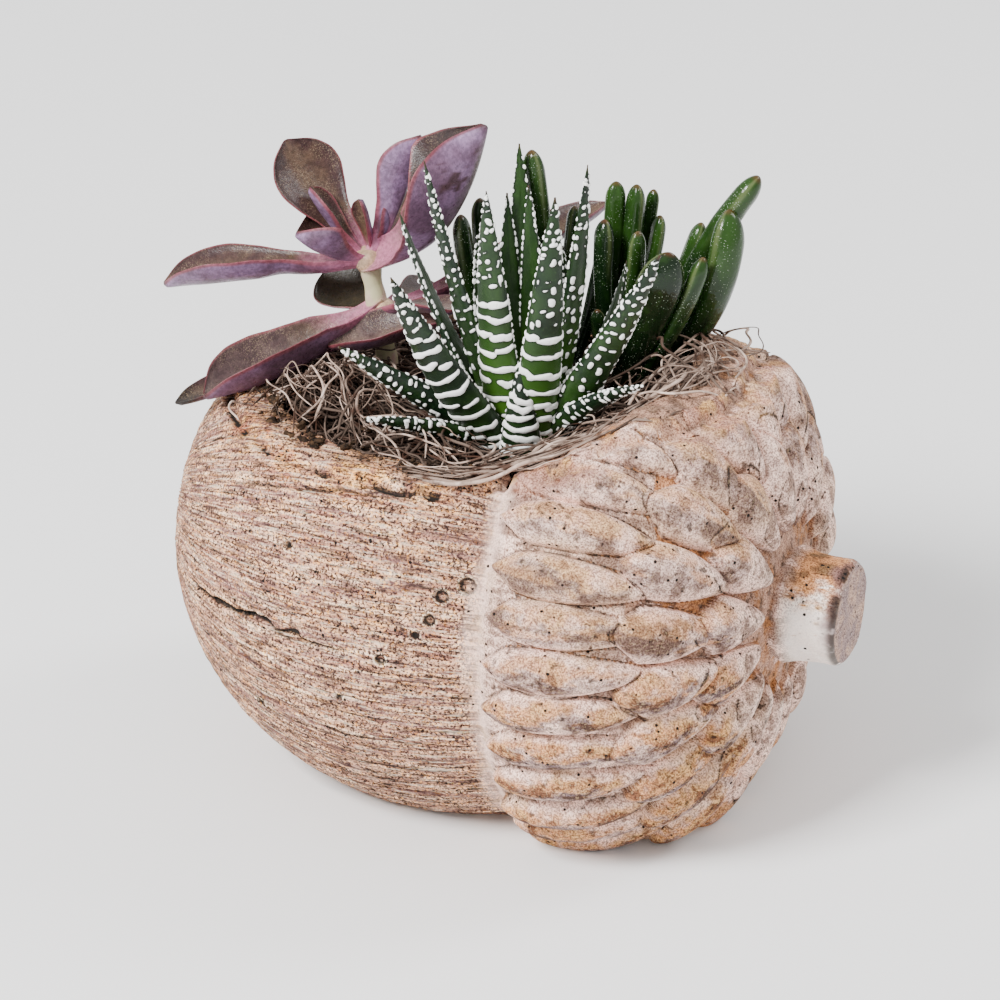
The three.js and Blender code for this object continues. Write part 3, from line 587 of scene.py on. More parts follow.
def rim_cutter():
    xs = np.arange(-112, 96, 0.8)
    ys = np.arange(-84, 84.1, 0.8)
    gx, gy = np.meshgrid(xs, ys, indexing="ij")
    soft = sum(slice_height(gx + dx, gy) for dx in (-4, -2, 0, 2, 4)) / 5
    inside = outer_radius(gx) - np.hypot(gy, soft - AXIS)
    place = joined(gx, gy, 0)
    worn = 3.4 + 1.2 * fractal(place / 9, 2, seed=41)
    d = np.clip(inside, 0, worn)
    fillet = worn - np.sqrt(np.clip(worn**2 - (worn - d) ** 2, 0, None))
    rough = 0.5 * fractal(place / 8, 3, seed=42) + 0.35 * fractal(place / 2.2, 3, 0.6, seed=43)
    chips = smoothstep(0.25, 0.6, fractal(place / 6, 2, seed=44))
    return terrain("rim", xs, ys, soft - fillet + rough - 0.9 * chips - 0.2, 190.0)


def hollow_tool(name, margin):
    radius = NUT_RADIUS - WALL - margin
    left = NUT_TIP_REACH - WALL - 2 - margin
    right = CAP_REACH - WALL - 2 - margin
    turn = np.radians(np.linspace(6, 90, 30))
    u = np.sin(np.radians(np.linspace(2, 82, 24)))
    x = np.concatenate([NUT_CENTRE - left * np.cos(turn), CAP_CENTRE + right * u])
    r = np.concatenate([radius * np.sin(turn), radius * (1 - u**CAP_POWER) ** (1 / CAP_POWER)])
    base = turned(x[:, None], r[:, None], circle(120)) + [0, 0, AXIS]
    base[..., 2] = np.maximum(base[..., 2], FLOOR + margin + 0.02 * (AXIS - base[..., 2]) / AXIS)
    return mesh_object(name, *skin(base))


# Paints of the concrete. The near-black serves both for dark marks and for painted shade in cracks, pits and
# cuts.
CREAM, BLUSH, PALE, CHALK = (0.72, 0.505, 0.375), (0.92, 0.66, 0.57), (0.93, 0.81, 0.71), (1.0, 0.92, 0.86)
SAND, TAN, TAUPE = (0.43, 0.255, 0.180), (0.43, 0.27, 0.21), (0.21, 0.130, 0.098)
ROSE, MAUVE, VIOLET = (0.30, 0.145, 0.130), (0.185, 0.100, 0.105), (0.104, 0.066, 0.086)
OCHRE, STRAW, RUST = (0.50, 0.185, 0.030), (0.74, 0.42, 0.14), (0.30, 0.10, 0.05)
BROWN, SOOT_AND_SHADE = (0.065, 0.029, 0.016), (0.014, 0.009, 0.006)
NUT_TINT = np.array([0.90, 0.86, 0.90])


def nut_colour(p, wrap, broad, spots):
    """Dry-brushed bands drawn along the nut, in cream, pink sand, straw and mauve-brown."""
    fine = fractal(wrap * [1.8, 2.3, 2.3], 3, 0.7, seed=62)
    straw = fractal(wrap * [1.4, 1.1, 1.1] + 5, 3, 0.6, seed=65)
    rosy = fractal(wrap * [1, 0.9, 0.9] + 9, 4, 0.65, seed=64) + 0.25 * broad
    mauve = fractal(wrap + 14, 4, 0.65, seed=68)
    pale = fractal(wrap * [0.8, 1.6, 1.6] + 2, 3, 0.6, seed=67)
    low = smoothstep(15, -45, p[:, 2] - AXIS)
    dark = fractal(wrap * [1.0, 1.9, 1.9] + 3, 3, 0.6, seed=66) + 0.26 * low
    light = fine + 0.35 * fractal(wrap, 4, 0.65, seed=61) + 0.2 * broad
    colour = coats(
        mix(SAND, CREAM, smoothstep(-0.5, 0.6, light)),
        (STRAW, 0.32 * smoothstep(0.1, 0.7, straw)),
        (ROSE, 0.85 * smoothstep(-0.05, 0.6, rosy) * (1 - 0.5 * low)),
        (MAUVE, 0.65 * smoothstep(0.0, 0.65, mauve + 0.15 * low)),
        (BROWN, 0.45 * smoothstep(0.2, 0.8, -fine + 0.25 * spots)),
        (PALE, 0.6 * smoothstep(0.2, 0.8, pale)),
    )
    return mix(colour * NUT_TINT, SOOT_AND_SHADE, 0.9 * smoothstep(0.52, 0.68, dark))


def cap_colour(p, n, angle, rough):
    """Cream grooves, crests rubbed with ochre above and violet-brown below, partly painted highlight and
    shade, and how rubbed they are.
    """
    _, share, place, cuts = scale_field(cap_distance(p[:, 0]), angle)
    tilt = n[:, 2] - np.cos(angle)
    wide = fractal(p / 16, 2, seed=71)
    spread = np.minimum(38, 0.62 * np.hypot(p[:, 1], p[:, 2] - AXIS))
    drawn = joined(p[:, 0] * 0.10, np.sin(angle) * spread, np.cos(angle) * spread)
    drawn = fractal(drawn, 4, 0.62, seed=72)
    stroke = fractal(joined(p[:, 0] * 0.16, np.sin(angle) * 22, np.cos(angle) * 22), 3, 0.6, seed=77)
    crest = smoothstep(0.34, 0.78, share + 0.20 * rough + 0.14 * drawn)
    # Ochre on the upper side of each scale and on faces that tip up, violet-brown below: partly rubbed paint,
    # partly painted highlight and shade.
    warm = smoothstep(-0.25, 0.25, -0.75 * (place + 0.1) + 0.3 * tilt + 0.35 * drawn + 0.85 * stroke + 0.1)
    gilt = mix(OCHRE, STRAW, smoothstep(-0.2, 0.8, rough + 0.4 * wide))
    shade = mix(VIOLET, MAUVE, 0.8 * smoothstep(-0.3, 0.6, drawn + 0.3 * rough))
    # The rubbing is weaker on the upper half.
    strong = smoothstep(-0.75, 0.2, wide + 0.6 * stroke + 0.25)
    strong = strong * (1 - 0.4 * smoothstep(-15, 35, p[:, 2] - AXIS))
    worn = crest * smoothstep(-0.12, 0.2, rough + 0.55 * drawn - 0.5 * np.abs(place - 0.15) - 0.3 * stroke)
    colour = coats(
        mix(BLUSH, CREAM, smoothstep(-0.1, 0.8, wide + 0.5 * rough)),
        (TAN, 0.5 * smoothstep(-0.1, 0.6, rough)),
        (TAUPE, 0.8 * (1 - smoothstep(0.0, 0.34, share)) * smoothstep(-0.6, 0.4, rough + drawn)),
        (gilt, 0.82 * crest * warm * strong),
        (shade, 0.90 * crest * (1 - warm) * strong),
        (mix(BROWN, RUST, 0.45 * warm), 0.92 * worn * strong),
        (BLUSH, 0.45 * smoothstep(0.25, 0.65, -rough - 0.3 * drawn) * crest),
        # Painted shade: near-black along the cuts between the scales, where shadow falls in the slits.
        (SOOT_AND_SHADE, 0.95 * smoothstep(0.25, 0.7, cuts) * smoothstep(-0.7, -0.1, drawn + 0.5 * rough)),
        (SOOT_AND_SHADE, 0.8 * smoothstep(0.74, 0.9, fractal(p / 1.6, 2, 0.5, seed=73))),
    )
    return colour, gilt, crest * strong


def stem_colour(p, n, rough, broad, gilt):
    """Chalky sides, gilt and brown on top, a dark ring at the end and a mauve cut face."""
    x, front, up = p[:, 0], n[:, 0], n[:, 2]
    end = smoothstep(STEM_END - 5, STEM_END - 2, x + 2.0 * rough) * smoothstep(0.9, 0.6, np.abs(front))
    edge = smoothstep(0.95, 0.8, np.abs(front)) * smoothstep(STEM_END - 3.5, STEM_END - 1.5, x)
    face = 0.85 * smoothstep(STEM_END - 1.8, STEM_END - 1.0, x) * smoothstep(0.8, 0.95, front)
    return coats(
        mix(CHALK, CREAM, 0.3 * smoothstep(-0.1, 0.8, broad + 0.5 * rough)),
        (gilt, 0.9 * smoothstep(0.30, 0.75, up + 0.35 * rough)),
        (BROWN, 0.75 * smoothstep(0.65, 1.05, rough + 0.8 * up)),
        (MAUVE, 0.75 * end * smoothstep(-0.7, 0.1, up)),
        (SOOT_AND_SHADE, 0.85 * edge * smoothstep(-0.5, 0.2, rough)),
        (mix(MAUVE, SAND, smoothstep(-0.4, 0.6, rough)), face),
    )


def rim_colour(p, rough, broad):
    """Bare rough concrete where the top is cut."""
    return coats(
        mix(SAND, TAUPE, smoothstep(-0.4, 0.4, rough)),
        (OCHRE, 0.6 * smoothstep(0.0, 0.5, broad + 0.5 * rough) * smoothstep(0, 30, p[:, 0])),
        (SOOT_AND_SHADE, 0.8 * smoothstep(0.25, 0.7, fractal(p / 2.2, 3, 0.6, seed=75))),
    )


def sunk_below(x, radius):
    """How deep a point lies under the nut's plain outline."""
    rise = nut_radius(x + 0.5) - nut_radius(x - 0.5)
    slope = rise / np.sqrt(1 + rise**2)
    return (nut_radius(x) - radius) * np.sqrt(1 - slope**2)


def concrete_colour(p, n):
    """Colour at points p with normals n, and how rubbed, how smooth and how dark with painted shade they are.
    """
    x, y, z = p[:, 0], p[:, 1], p[:, 2] - AXIS
    radius = off_axis(p)
    angle = np.arctan2(-y, z) % (2 * math.pi)
    wrap = joined(meridian(x, radius) * 0.075, y / radius * 84, z / radius * 84)
    broad = fractal(p / 30, 3, seed=60)
    spots = fractal(p / 3.2, 3, 0.6, seed=63)
    rough = fractal(p / 4.2, 4, 0.62, seed=70)
    below = slice_height(x, y) - p[:, 2]
    # Painted shade: cracks, burst bubbles and places sunk over a millimetre under the nut's plain outline are
    # painted near-black.
    scar, crevice_shade = scars(x, radius, angle)
    sunk = sunk_below(x, radius)
    deep = smoothstep(0.95, 1.35, sunk) * (sunk < 4) * (x < JUNCTION - 8) * (x > NIB_ROOT + 6)
    crevice_shade = np.maximum(crevice_shade, deep * (below > 4))
    cap, gilt, crest = cap_colour(p, n, angle, rough)
    band = mix(mix(CREAM, BLUSH, smoothstep(-0.6, 0.2, rough)), TAUPE, 0.5 * smoothstep(0.3, 0.8, rough))
    # The cut rim: bare rough concrete inside, rust and straw along its outer edge.
    lip = smoothstep(9, 1.5, below + 2.5 * rough) * (x < RIM_END)
    warm = mix(RUST, STRAW, smoothstep(-0.4, 0.4, rough + 0.5 * broad))
    inner = (radius < outer_radius(np.minimum(x, RIM_END)) - 3.0) & (x < RIM_END) & (n[:, 2] > -0.2)
    colour = coats(
        nut_colour(p, wrap, broad, spots),
        (PALE, 0.6 * smoothstep(0.03, 0.16, -scar)),
        (band, 0.8 * smoothstep(JUNCTION - 8, JUNCTION - 2.5, x + 4 * broad + 1.5 * rough)),
        # Painted shade in the cracks, pits and sunk places.
        (SOOT_AND_SHADE, 0.95 * crevice_shade),
        (cap, smoothstep(JUNCTION - 0.5, JUNCTION + 2.5, x)),
        (stem_colour(p, n, rough, broad, gilt), smoothstep(STEM_FROM, STEM_FULL, x)),
        (warm, 0.65 * lip * smoothstep(-0.5, 0.3, fractal(p / 9, 3, seed=76))),
        (rim_colour(p, rough, broad), 0.9 * inner),
    )
    on_cap = smoothstep(JUNCTION + 1, JUNCTION + 4, x) * (x < 84) * (1 - inner)
    plain = smoothstep(STEM_FROM, STEM_FULL, x) * smoothstep(0.97, 0.9, n[:, 0])
    plain = plain * smoothstep(0.6, 0.2, n[:, 2])
    plain = np.maximum(plain, 0.6 * smoothstep(4.5, 2, np.abs(x - JUNCTION + 2 + 2 * broad)))
    return colour, crest * on_cap, plain, crevice_shade * (1 - inner)


def concrete():
    s = Shader("concrete")
    nut, crest = s.value("nut"), s.value("crest")
    flow = s.kept("flow", "Vector")
    sand = s.noise(1500, 3, 0.66)
    fine = s.noise(2100, 3, 0.6)
    mottle = s.noise(430, 4, 0.62)
    brushed = s.noise(1500, 3, 0.64, flow)
    drawn = s.noise(560, 4, 0.6, flow)
    sandy = s.shades(sand, (0.10, 0.072, 0.070), (1.72, 1.60, 1.34), 0.42, 0.545)
    smooth_grain = s.shades(fine, (0.46, 0.40, 0.38), (1.28, 1.26, 1.22), 0.40, 0.57)
    tint = s.blend(s.colour("tint"), s.blend(smooth_grain, sandy, nut), 1.0, "MULTIPLY")
    uneven = s.shades(mottle, (0.74, 0.69, 0.69), (1.18, 1.18, 1.14), 0.38, 0.62)
    tint = s.blend(tint, uneven, s.plus(s.times(nut, 0.6), 0.4), "MULTIPLY")
    # Dragged brush marks on the nut, dark and light.
    tint = s.blend(tint, (0.235, 0.112, 0.105), s.times(s.ramp(drawn, 0.50, 0.64, 0, 0.55), nut))
    tint = s.blend(tint, (0.88, 0.72, 0.56), s.times(s.ramp(brushed, 0.44, 0.35, 0, 0.5), nut))
    lines = s.times(s.ramp(brushed, 0.56, 0.62), nut)
    tint = s.blend(tint, (0.035, 0.017, 0.012), s.times(lines, 0.62))
    # Crackled paint on the crests of the scales.
    crackle = s.times(s.ramp(s.noise(1500, 4, 0.7), 0.51, 0.57), crest)
    tint = s.blend(tint, (0.060, 0.028, 0.016), s.times(crackle, 0.60))
    fleck = s.times(s.ramp(s.noise(1300, 3, 0.65), 0.44, 0.38), crest)
    tint = s.blend(tint, (0.90, 0.62, 0.34), s.times(fleck, 0.30))
    # Straw-coloured sand grains on the nut.
    straw = s.times(s.ramp(s.noise(1300, 2, 0.6), 0.58, 0.64), nut)
    tint = s.blend(tint, (1.45, 1.15, 0.55), s.times(straw, 0.9), "MULTIPLY")
    # The seam and the chalky stem stay smooth. Pores and the painted shade in the cracks and pits come last.
    tint = s.blend(tint, s.colour("tint"), s.times(s.value("plain"), 0.85))
    hole = s.times(s.ramp(s.cells(400), 0.20, 0.12), s.ramp(s.noise(130, 2), 0.46, 0.56))
    tint = s.blend(tint, (0.006, 0.004, 0.003), hole)
    tint = s.blend(tint, (0.010, 0.007, 0.005), s.value("crevice_shade"))
    height = s.plus(s.times(s.times(sand, nut), 0.9), s.times(fine, 0.4))
    height = s.plus(height, s.times(mottle, 0.6))
    height = s.minus(height, s.times(hole, 1.3))
    height = s.minus(height, s.times(lines, 0.9))
    s.bump(height, 0.4)
    return s.finish(tint, s.ramp(mottle, 0.3, 0.7, 0.72, 0.95), 0.25)


def build_planter():
    planter = mesh_object("planter_cast", *skin(planter_surface()))
    base = terrain("base", np.array([-130.0, 110.0]), np.array([-90.0, 90.0]), np.zeros((2, 2)), -40.0)
    combine(planter, base, "DIFFERENCE")
    combine(planter, hollow_tool("hollow", 0.0), "DIFFERENCE")
    combine(planter, rim_cutter(), "DIFFERENCE")
    p, n = read(planter.data, "co") / MM, read(planter.data, "normal")
    for name, values in zip(("tint", "crest", "plain", "crevice_shade"), concrete_colour(p, n)):
        paint(planter.data, name, values)
    radius = off_axis(p)
    flow = joined(0.085 * meridian(p[:, 0], radius), 60 * p[:, 1] / radius, 60 * (p[:, 2] - AXIS) / radius)
    lay(planter.data, "flow", flow * MM)
    paint(planter.data, "nut", 1 - smoothstep(JUNCTION - 4.5, JUNCTION + 0.5, p[:, 0]))
    dress(planter, concrete(), ["planter"])


# ---- soil and moss ----
SOIL_LEVEL, SOIL_RISE, MOSS_THICKNESS = 99.0, 8.0, 11.5
MOSS_HEAPS = ((-56, -22, 34, 10), (46, 6, 30, 8.5), (-30, 34, 30, 3), (12, -20, 20, -8))


def soil_height(x, y):
    climb = np.clip((x - 5) / 40, 0, 1)
    return SOIL_LEVEL + SOIL_RISE * climb + 0.8 * np.sin(x / 12) * np.cos(y / 11)


def moss_height(x, y):
    total = soil_height(x, y) + MOSS_THICKNESS
    for cx, cy, radius, height in MOSS_HEAPS:
        d = np.minimum(1, np.hypot(x - cx, y - cy) / radius)
        total = total + height * (1 - d * d) ** 2
    return total


def build_soil():
    xs, ys = np.arange(-94, 66, 1.0), np.arange(-68, 69, 1.0)
    gx, gy = np.meshgrid(xs, ys, indexing="ij")
    place = joined(gx, gy, 0)
    lumps = 1.1 * fractal(place / 7, 3, seed=80) + 0.9 * np.abs(fractal(place / 2.6, 2, seed=81))
    soil = terrain("potting_soil", xs, ys, soil_height(gx, gy) + lumps - 0.4, -5.0)
    combine(soil, hollow_tool("soil_hollow", 0.3), "INTERSECT")
    s = Shader("soil")
    tone = s.blend((0.008, 0.005, 0.004), (0.045, 0.026, 0.016), s.ramp(s.noise(600, 4), 0.35, 0.75))
    s.bump(s.plus(s.cells(420), s.noise(1400, 3)), 0.8)
    dress(soil, s.finish(tone, 0.95, 0.2), ["soil"])


def strand(path, radius, sides=6, flat=1.0):
    """A thread along a path of points, thinner at both ends."""
    along = np.gradient(path, axis=0)
    along /= np.linalg.norm(along, axis=1)[:, None]
    hint = np.array([0.31, 0.17, 0.94])
    side = np.cross(along, hint)
    side /= np.linalg.norm(side, axis=1)[:, None] + 1e-9
    other = np.cross(along, side) * flat
    n = len(path)
    thin = np.clip(np.minimum(np.arange(n), np.arange(n)[::-1]) / 4 + 0.35, 0, 1)
    angle = circle(sides)
    ring = np.cos(angle)[None, :, None] * side[:, None] + np.sin(angle)[None, :, None] * other[:, None]
    return path[:, None] + ring * (radius * thin)[:, None, None]


def within(x, y):
    """Distance across the planter from a point to its outer edge, at the height of the slice."""
    height = slice_height(x, y) - AXIS
    wide = np.sqrt(np.clip(outer_radius(np.clip(x, -95, RIM_END)) ** 2 - height**2, 0, None))
    return wide - np.abs(y)


def shy(x, y):
    """How far inside the outer edge the moss stays: the rim is bare on the left."""
    return np.interp(x, [-60, -30, -8, 10, 40], [13.0, 8.5, 2.0, 1.0, 5.5]) + 2 * (y > 0)


# Leaves that lie just over the moss, as root, tip and reach to each side: strands pass below them.
LOW_LEAVES = (
    ((-44.5, 11, 125.0), (-62, -10, 112.5), 10.0),
    ((-62, -10, 112.5), (-79, -30, 108.5), 10.0),
    ((-43.5, 11, 123.5), (-88, -28, 105), 8.0),
    ((-22, 11, 124.5), (-53, -6, 116.5), 8.0),
    ((2, -15, 104), (-33, -41, 135), 4.0),
)


def ceiling(x, y):
    """Highest place for a strand under the low leaves."""
    top = np.full(np.shape(x), 400.0)
    for root, tip, reach in LOW_LEAVES:
        root, tip = np.array(root), np.array(tip)
        run = tip - root
        t = np.clip(((x - root[0]) * run[0] + (y - root[1]) * run[1]) / (run[0] ** 2 + run[1] ** 2), 0, 1)
        gap = np.hypot(x - root[0] - t * run[0], y - root[1] - t * run[1])
        line = root[2] + t * run[2] - 3.2
        top = np.minimum(top, np.where(gap < reach, line, line + 1.5 * (gap - reach)))
    return top


def settle(points, lift):
    """Gives a path on the bed its heights, kept over the rim and under the leaves."""
    x, y = points[:, 0], points[:, 1]
    z = moss_height(x, y) + lift
    z = np.where(within(x, y) < WALL, np.maximum(z, slice_height(x, y) + 0.3), z)
    z = np.minimum(z, ceiling(x, y))
    for _ in range(3):
        z[1:-1] = (z[:-2] + 2 * z[1:-1] + z[2:]) / 4
    return joined(x, y, z)


# Distance between the points of a strand.
STRAND_STEP = 1.2


def wander(rng, start, heading, steps, turn, wiggle, lift, depth):
    """A curly path over the bed, or None if it meets the rim too soon."""
    x, y = start
    points, lifts = [], []
    drift, climb = 0.0, rng.normal(0, 0.15)
    low, high = depth
    for _ in range(steps):
        drift = 0.8 * drift + rng.normal(0, wiggle)
        heading += turn + drift * 0.5
        x += STRAND_STEP * math.cos(heading)
        y += STRAND_STEP * math.sin(heading)
        if within(x, y) < shy(x, y):
            break
        climb = 0.88 * climb + rng.normal(0, 0.2)
        lift = min(max(lift + climb, low), high)
        points.append((x, y))
        lifts.append(lift)
    return settle(np.array(points), np.array(lifts)) if len(points) > 8 else None


def bed_start(rng):
    """A place on the bed for a strand to start."""
    while True:
        x, y = rng.uniform(-80, 60), rng.uniform(-64, 64)
        if within(x, y) > shy(x, y):
            return x, y


# The thick bundle that sweeps along the front rim and up to the right.
BUNDLE = np.array([
    (-6, -51, -2), (12, -50.5, -0.5), (27, -43, 1), (40, -28, 1.5), (50, -8, 1), (54, 10, 0.5),
])
# Wiry arcs that spring out of the bed: foot, far foot and height.
ARCS = (
    ((40, 18), (58, -4), 9), ((34, 30), (57, 14), 8), ((44, 40), (60, 18), 7), ((30, 8), (52, -22), 6),
    ((48, 2), (60, 24), 7), ((26, -20), (48, -30), 6), ((-62, -4), (-50, -32), 4),
    ((-44, -12), (-30, -40), 5), ((-56, -18), (-36, -30), 6), ((-30, -30), (-8, -46), 4),
    ((-66, -14), (-44, -40), 3), ((8, -44), (26, -34), 4), ((-20, -38), (2, -50), 3),
    ((44, 26), (62, 4), 5), ((38, -8), (58, 2), 8), ((20, -46), (40, -36), 4),
)


def curve_through(points, count):
    """A smooth path through a few points."""
    points = np.asarray(points, float)
    keys = np.linspace(0, 1, len(points))
    t = np.linspace(0, 1, count)
    return np.stack([hermite(keys, points[:, k], t) for k in range(points.shape[1])], -1)


def bundle_strand(rng):
    count = 90
    shift = rng.normal(0, 1, 2) * 2.3
    strewn = np.concatenate([rng.normal(0, 1.5, (6, 2)), rng.normal(0, 1.1, (6, 1))], 1)
    path = curve_through(BUNDLE + strewn, count)
    start, end = sorted(rng.uniform(0, 1, 2))
    if end - start < 0.35:
        start, end = max(0, start - 0.25), min(1, end + 0.25)
    path = path[int(start * count) : int(end * count)]
    t = np.arange(len(path))
    sway = 0.9 * np.sin(t / rng.uniform(2.5, 6) + rng.uniform(0, 6))
    place = joined(path[:, 0] + shift[0] + sway, path[:, 1] + shift[1] + 0.5 * sway)
    return settle(place, path[:, 2] + 0.6 * np.cos(t / 4.0))


def arc_strand(rng, foot, far, height):
    ends = np.array([foot, far], float) + rng.normal(0, 3, (2, 2))
    t = np.linspace(0, 1, 46)
    bow = rng.normal(0, 5)
    run = ends[1] - ends[0]
    across = np.array([-run[1], run[0]]) / np.linalg.norm(run)
    off = bow * np.sin(math.pi * t) + 0.8 * np.sin(t * rng.uniform(8, 20))
    rise = height * rng.uniform(0.5, 1.1) * np.sin(math.pi * t) - 2
    return settle(ends[0] + t[:, None] * run + off[:, None] * across, rise)


def hanging_strand(rng):
    """A thin root that hangs from below the lower leaves down to the front of the bed."""
    x, y = rng.uniform(-62, -16), rng.uniform(-46, -24)
    top = np.array([-49, -9, 116.0]) + rng.normal(0, 1, 3) * [4, 3, 1.2]
    low = np.array([x, y, float(moss_height(np.array(x), np.array(y))) - rng.uniform(0, 5)])
    t = np.array([0, 0.3, 0.62, 1])[:, None]
    keys = top + t * (low - top)
    keys[1:3] += rng.normal(0, 1, (2, 3)) * [3.5, 3, 2.0]
    keys[1, 2] += 1.5
    path = curve_through(keys, 46)
    path[:, 2] = np.minimum(path[:, 2], ceiling(path[:, 0], path[:, 1]))
    return path


def light_or_dark(rng):
    return rng.uniform(0.6, 1.0) if rng.random() < 0.33 else rng.uniform(0.0, 0.24)


def bed_strands(rng, count, steps, turn, wiggle, lift, depth, radius, tone):
    """Strands that wander over the bed. turn and tone draw a number for each."""
    for _ in range(count):
        path = wander(rng, bed_start(rng), rng.uniform(0, 7), rng.integers(*steps),
                      turn(rng), wiggle, rng.uniform(*lift), depth)
        yield path, rng.uniform(*radius), tone(rng)


def curl(low, high):
    """Draws a steady turn to one side or the other."""
    return lambda rng: rng.uniform(low, high) * rng.choice([-1, 1])


def moss_strands(rng):
    """Paths of all strands with their radius and tone: a dark bed that stands for the shade deep in the moss,
    curls on it, the bundle and the arcs.
    """
    # The lowest strands are near-black: painted shade deep in the moss.
    yield from bed_strands(rng, 900, (14, 40), curl(0.06, 0.4), 0.24, (-10, -5.5), (-11, -5),
                           (0.24, 0.5), lambda rng: rng.uniform(0.0, 0.2))
    yield from bed_strands(rng, 180, (16, 46), curl(0.02, 0.26), 0.30, (-6, 0), (-8, 2.6),
                           (0.12, 0.34), light_or_dark)
    for _ in range(46):
        yield hanging_strand(rng), rng.uniform(0.15, 0.36), light_or_dark(rng)
    yield from bed_strands(rng, 84, (30, 70), lambda rng: rng.normal(0, 0.04), 0.16, (-2, 1), (-4, 2.8),
                           (0.16, 0.5), light_or_dark)
    for number in range(38):
        thick = rng.uniform(0.42, 0.7) if number % 5 == 0 else rng.uniform(0.14, 0.34)
        yield bundle_strand(rng), thick, rng.uniform(0.05, 0.8)
    for foot, far, height in ARCS:
        for _ in range(4):
            yield arc_strand(rng, foot, far, height), rng.uniform(0.18, 0.44), rng.uniform(0.1, 0.95)


def crumbs(rng, heap, count):
    """Bits of bark and earth in the moss and along the inner edge of the rim."""
    placed = 0
    while placed < count:
        x, y = rng.uniform(-84, 62), rng.uniform(-66, 66)
        inside = within(x, y)
        clump = value_noise([x / 5, y / 5, 0.5], 82) + 0.5 * (value_noise([x / 1.6, y / 1.6, 0.5], 83) - 0.5)
        if not 6.0 < inside < (10.5 if placed % 3 else 40) or clump < 0.62 or (x > 14 and inside < 11):
            continue
        placed += 1
        size = rng.choice([0.4, 0.7, 1.3], p=[0.5, 0.35, 0.15]) * rng.uniform(0.6, 1.2)
        size = size * np.array([1, rng.uniform(0.4, 1), rng.uniform(0.3, 0.8)])
        turn = rng.uniform(0, 6.28)
        v = np.linspace(0.12, math.pi - 0.12, 7)[:, None]
        h = np.linspace(0, 2 * math.pi, 9)[None, :-1]
        ball = joined(np.sin(v) * np.cos(h), np.sin(v) * np.sin(h), np.cos(v))
        ball *= (1 + 0.8 * fractal(ball * 1.8 + placed, 3, 0.6))[..., None] * size
        cos, sin = math.cos(turn), math.sin(turn)
        spun = ball @ np.array([[cos, sin, 0], [-sin, cos, 0], [0, 0, 1]])
        level = moss_height(x, y) - rng.uniform(1, 8) if inside > WALL else slice_height(x, y) - 0.4
        level = min(level, float(ceiling(np.array(x), np.array(y))) - 1)
        heap.add(spun + [x, y, level], tone=np.full(spun.shape[:2], rng.uniform(0, 1)))


def build_moss():
    rng = np.random.default_rng(7)
    heap = Heap()
    for path, radius, tone in moss_strands(rng):
        if path is None:
            continue
        rings = strand(path, radius, flat=rng.uniform(0.55, 1.0))
        heap.add(rings, tone=np.full(rings.shape[:2], tone))
    s = Shader("moss")
    colour = s.blend((0.017, 0.008, 0.004), (0.56, 0.400, 0.320), s.value("tone"))
    # Painted highlights: paler patches along the pale strands.
    light = s.times(s.ramp(s.noise(330, 3), 0.48, 0.66), s.ramp(s.value("tone"), 0.5, 1.0))
    colour = s.blend(colour, (0.80, 0.62, 0.52), light)
    colour = s.blend(colour, (0.050, 0.020, 0.011), s.ramp(s.noise(170, 3), 0.46, 0.66, 0, 0.9))
    s.bump(s.noise(3000, 2), 0.15)
    dress(heap.build("dry_moss"), s.finish(colour, 0.85, 0.2), ["moss"])
    litter = Heap()
    crumbs(rng, litter, 1500)
    s = Shader("bark")
    colour = s.blend((0.012, 0.007, 0.004), (0.085, 0.045, 0.022), s.value("tone"))
    colour = s.blend(colour, (0.010, 0.006, 0.004), s.ramp(s.noise(500, 3), 0.45, 0.7))
    s.bump(s.noise(1500, 3), 0.4)
    dress(litter.build("bark_crumbs"), s.finish(colour, 0.9, 0.2), [])


# ---- leaves ----
def leaf_line(spec, s):
    """Centre, side and inner directions along a leaf at stations s."""
    start, end = np.array(spec["root"], float), np.array(spec["tip"], float)
    chord = (end - start) / np.linalg.norm(end - start)
    heading = math.radians(spec["outward"])
    level = np.array([-math.sin(heading), math.cos(heading), 0])
    inward = np.cross(chord, level)
    inward /= np.linalg.norm(inward)
    bend = (start + end) / 2 - 2 * spec.get("arch", 0) * inward + 2 * spec.get("sway", 0) * level
    s = np.asarray(s)[:, None]
    centre = (1 - s) ** 2 * start + 2 * s * (1 - s) * bend + s**2 * end
    t = np.clip(s, 0.001, 0.999)
    along = 2 * (1 - t) * (bend - start) + 2 * t * (end - bend)
    along /= np.linalg.norm(along, axis=1)[:, None]
    side = level - along * (along @ level)[:, None]
    side /= np.linalg.norm(side, axis=1)[:, None]
    roll = math.radians(-spec.get("roll", 0))
    side = side * math.cos(roll) + np.cross(along, side) * math.sin(roll)
    return centre, side, np.cross(along, side)


def sweep(spec, s, across, inner):
    """Rings of a leaf from its section, given as distances across and to the inner face."""
    centre, side, inward = leaf_line(spec, s)
    return centre[:, None] + across[..., None] * side[:, None] + inner[..., None] * inward[:, None]


def profile(table, s):
    keys, values = np.array(table).T
    return np.maximum(hermite(keys, values, s), 0.01)


# ---- zebra haworthia ----
HAWORTHIA_CROWN = np.array([8, -12, 103.0])
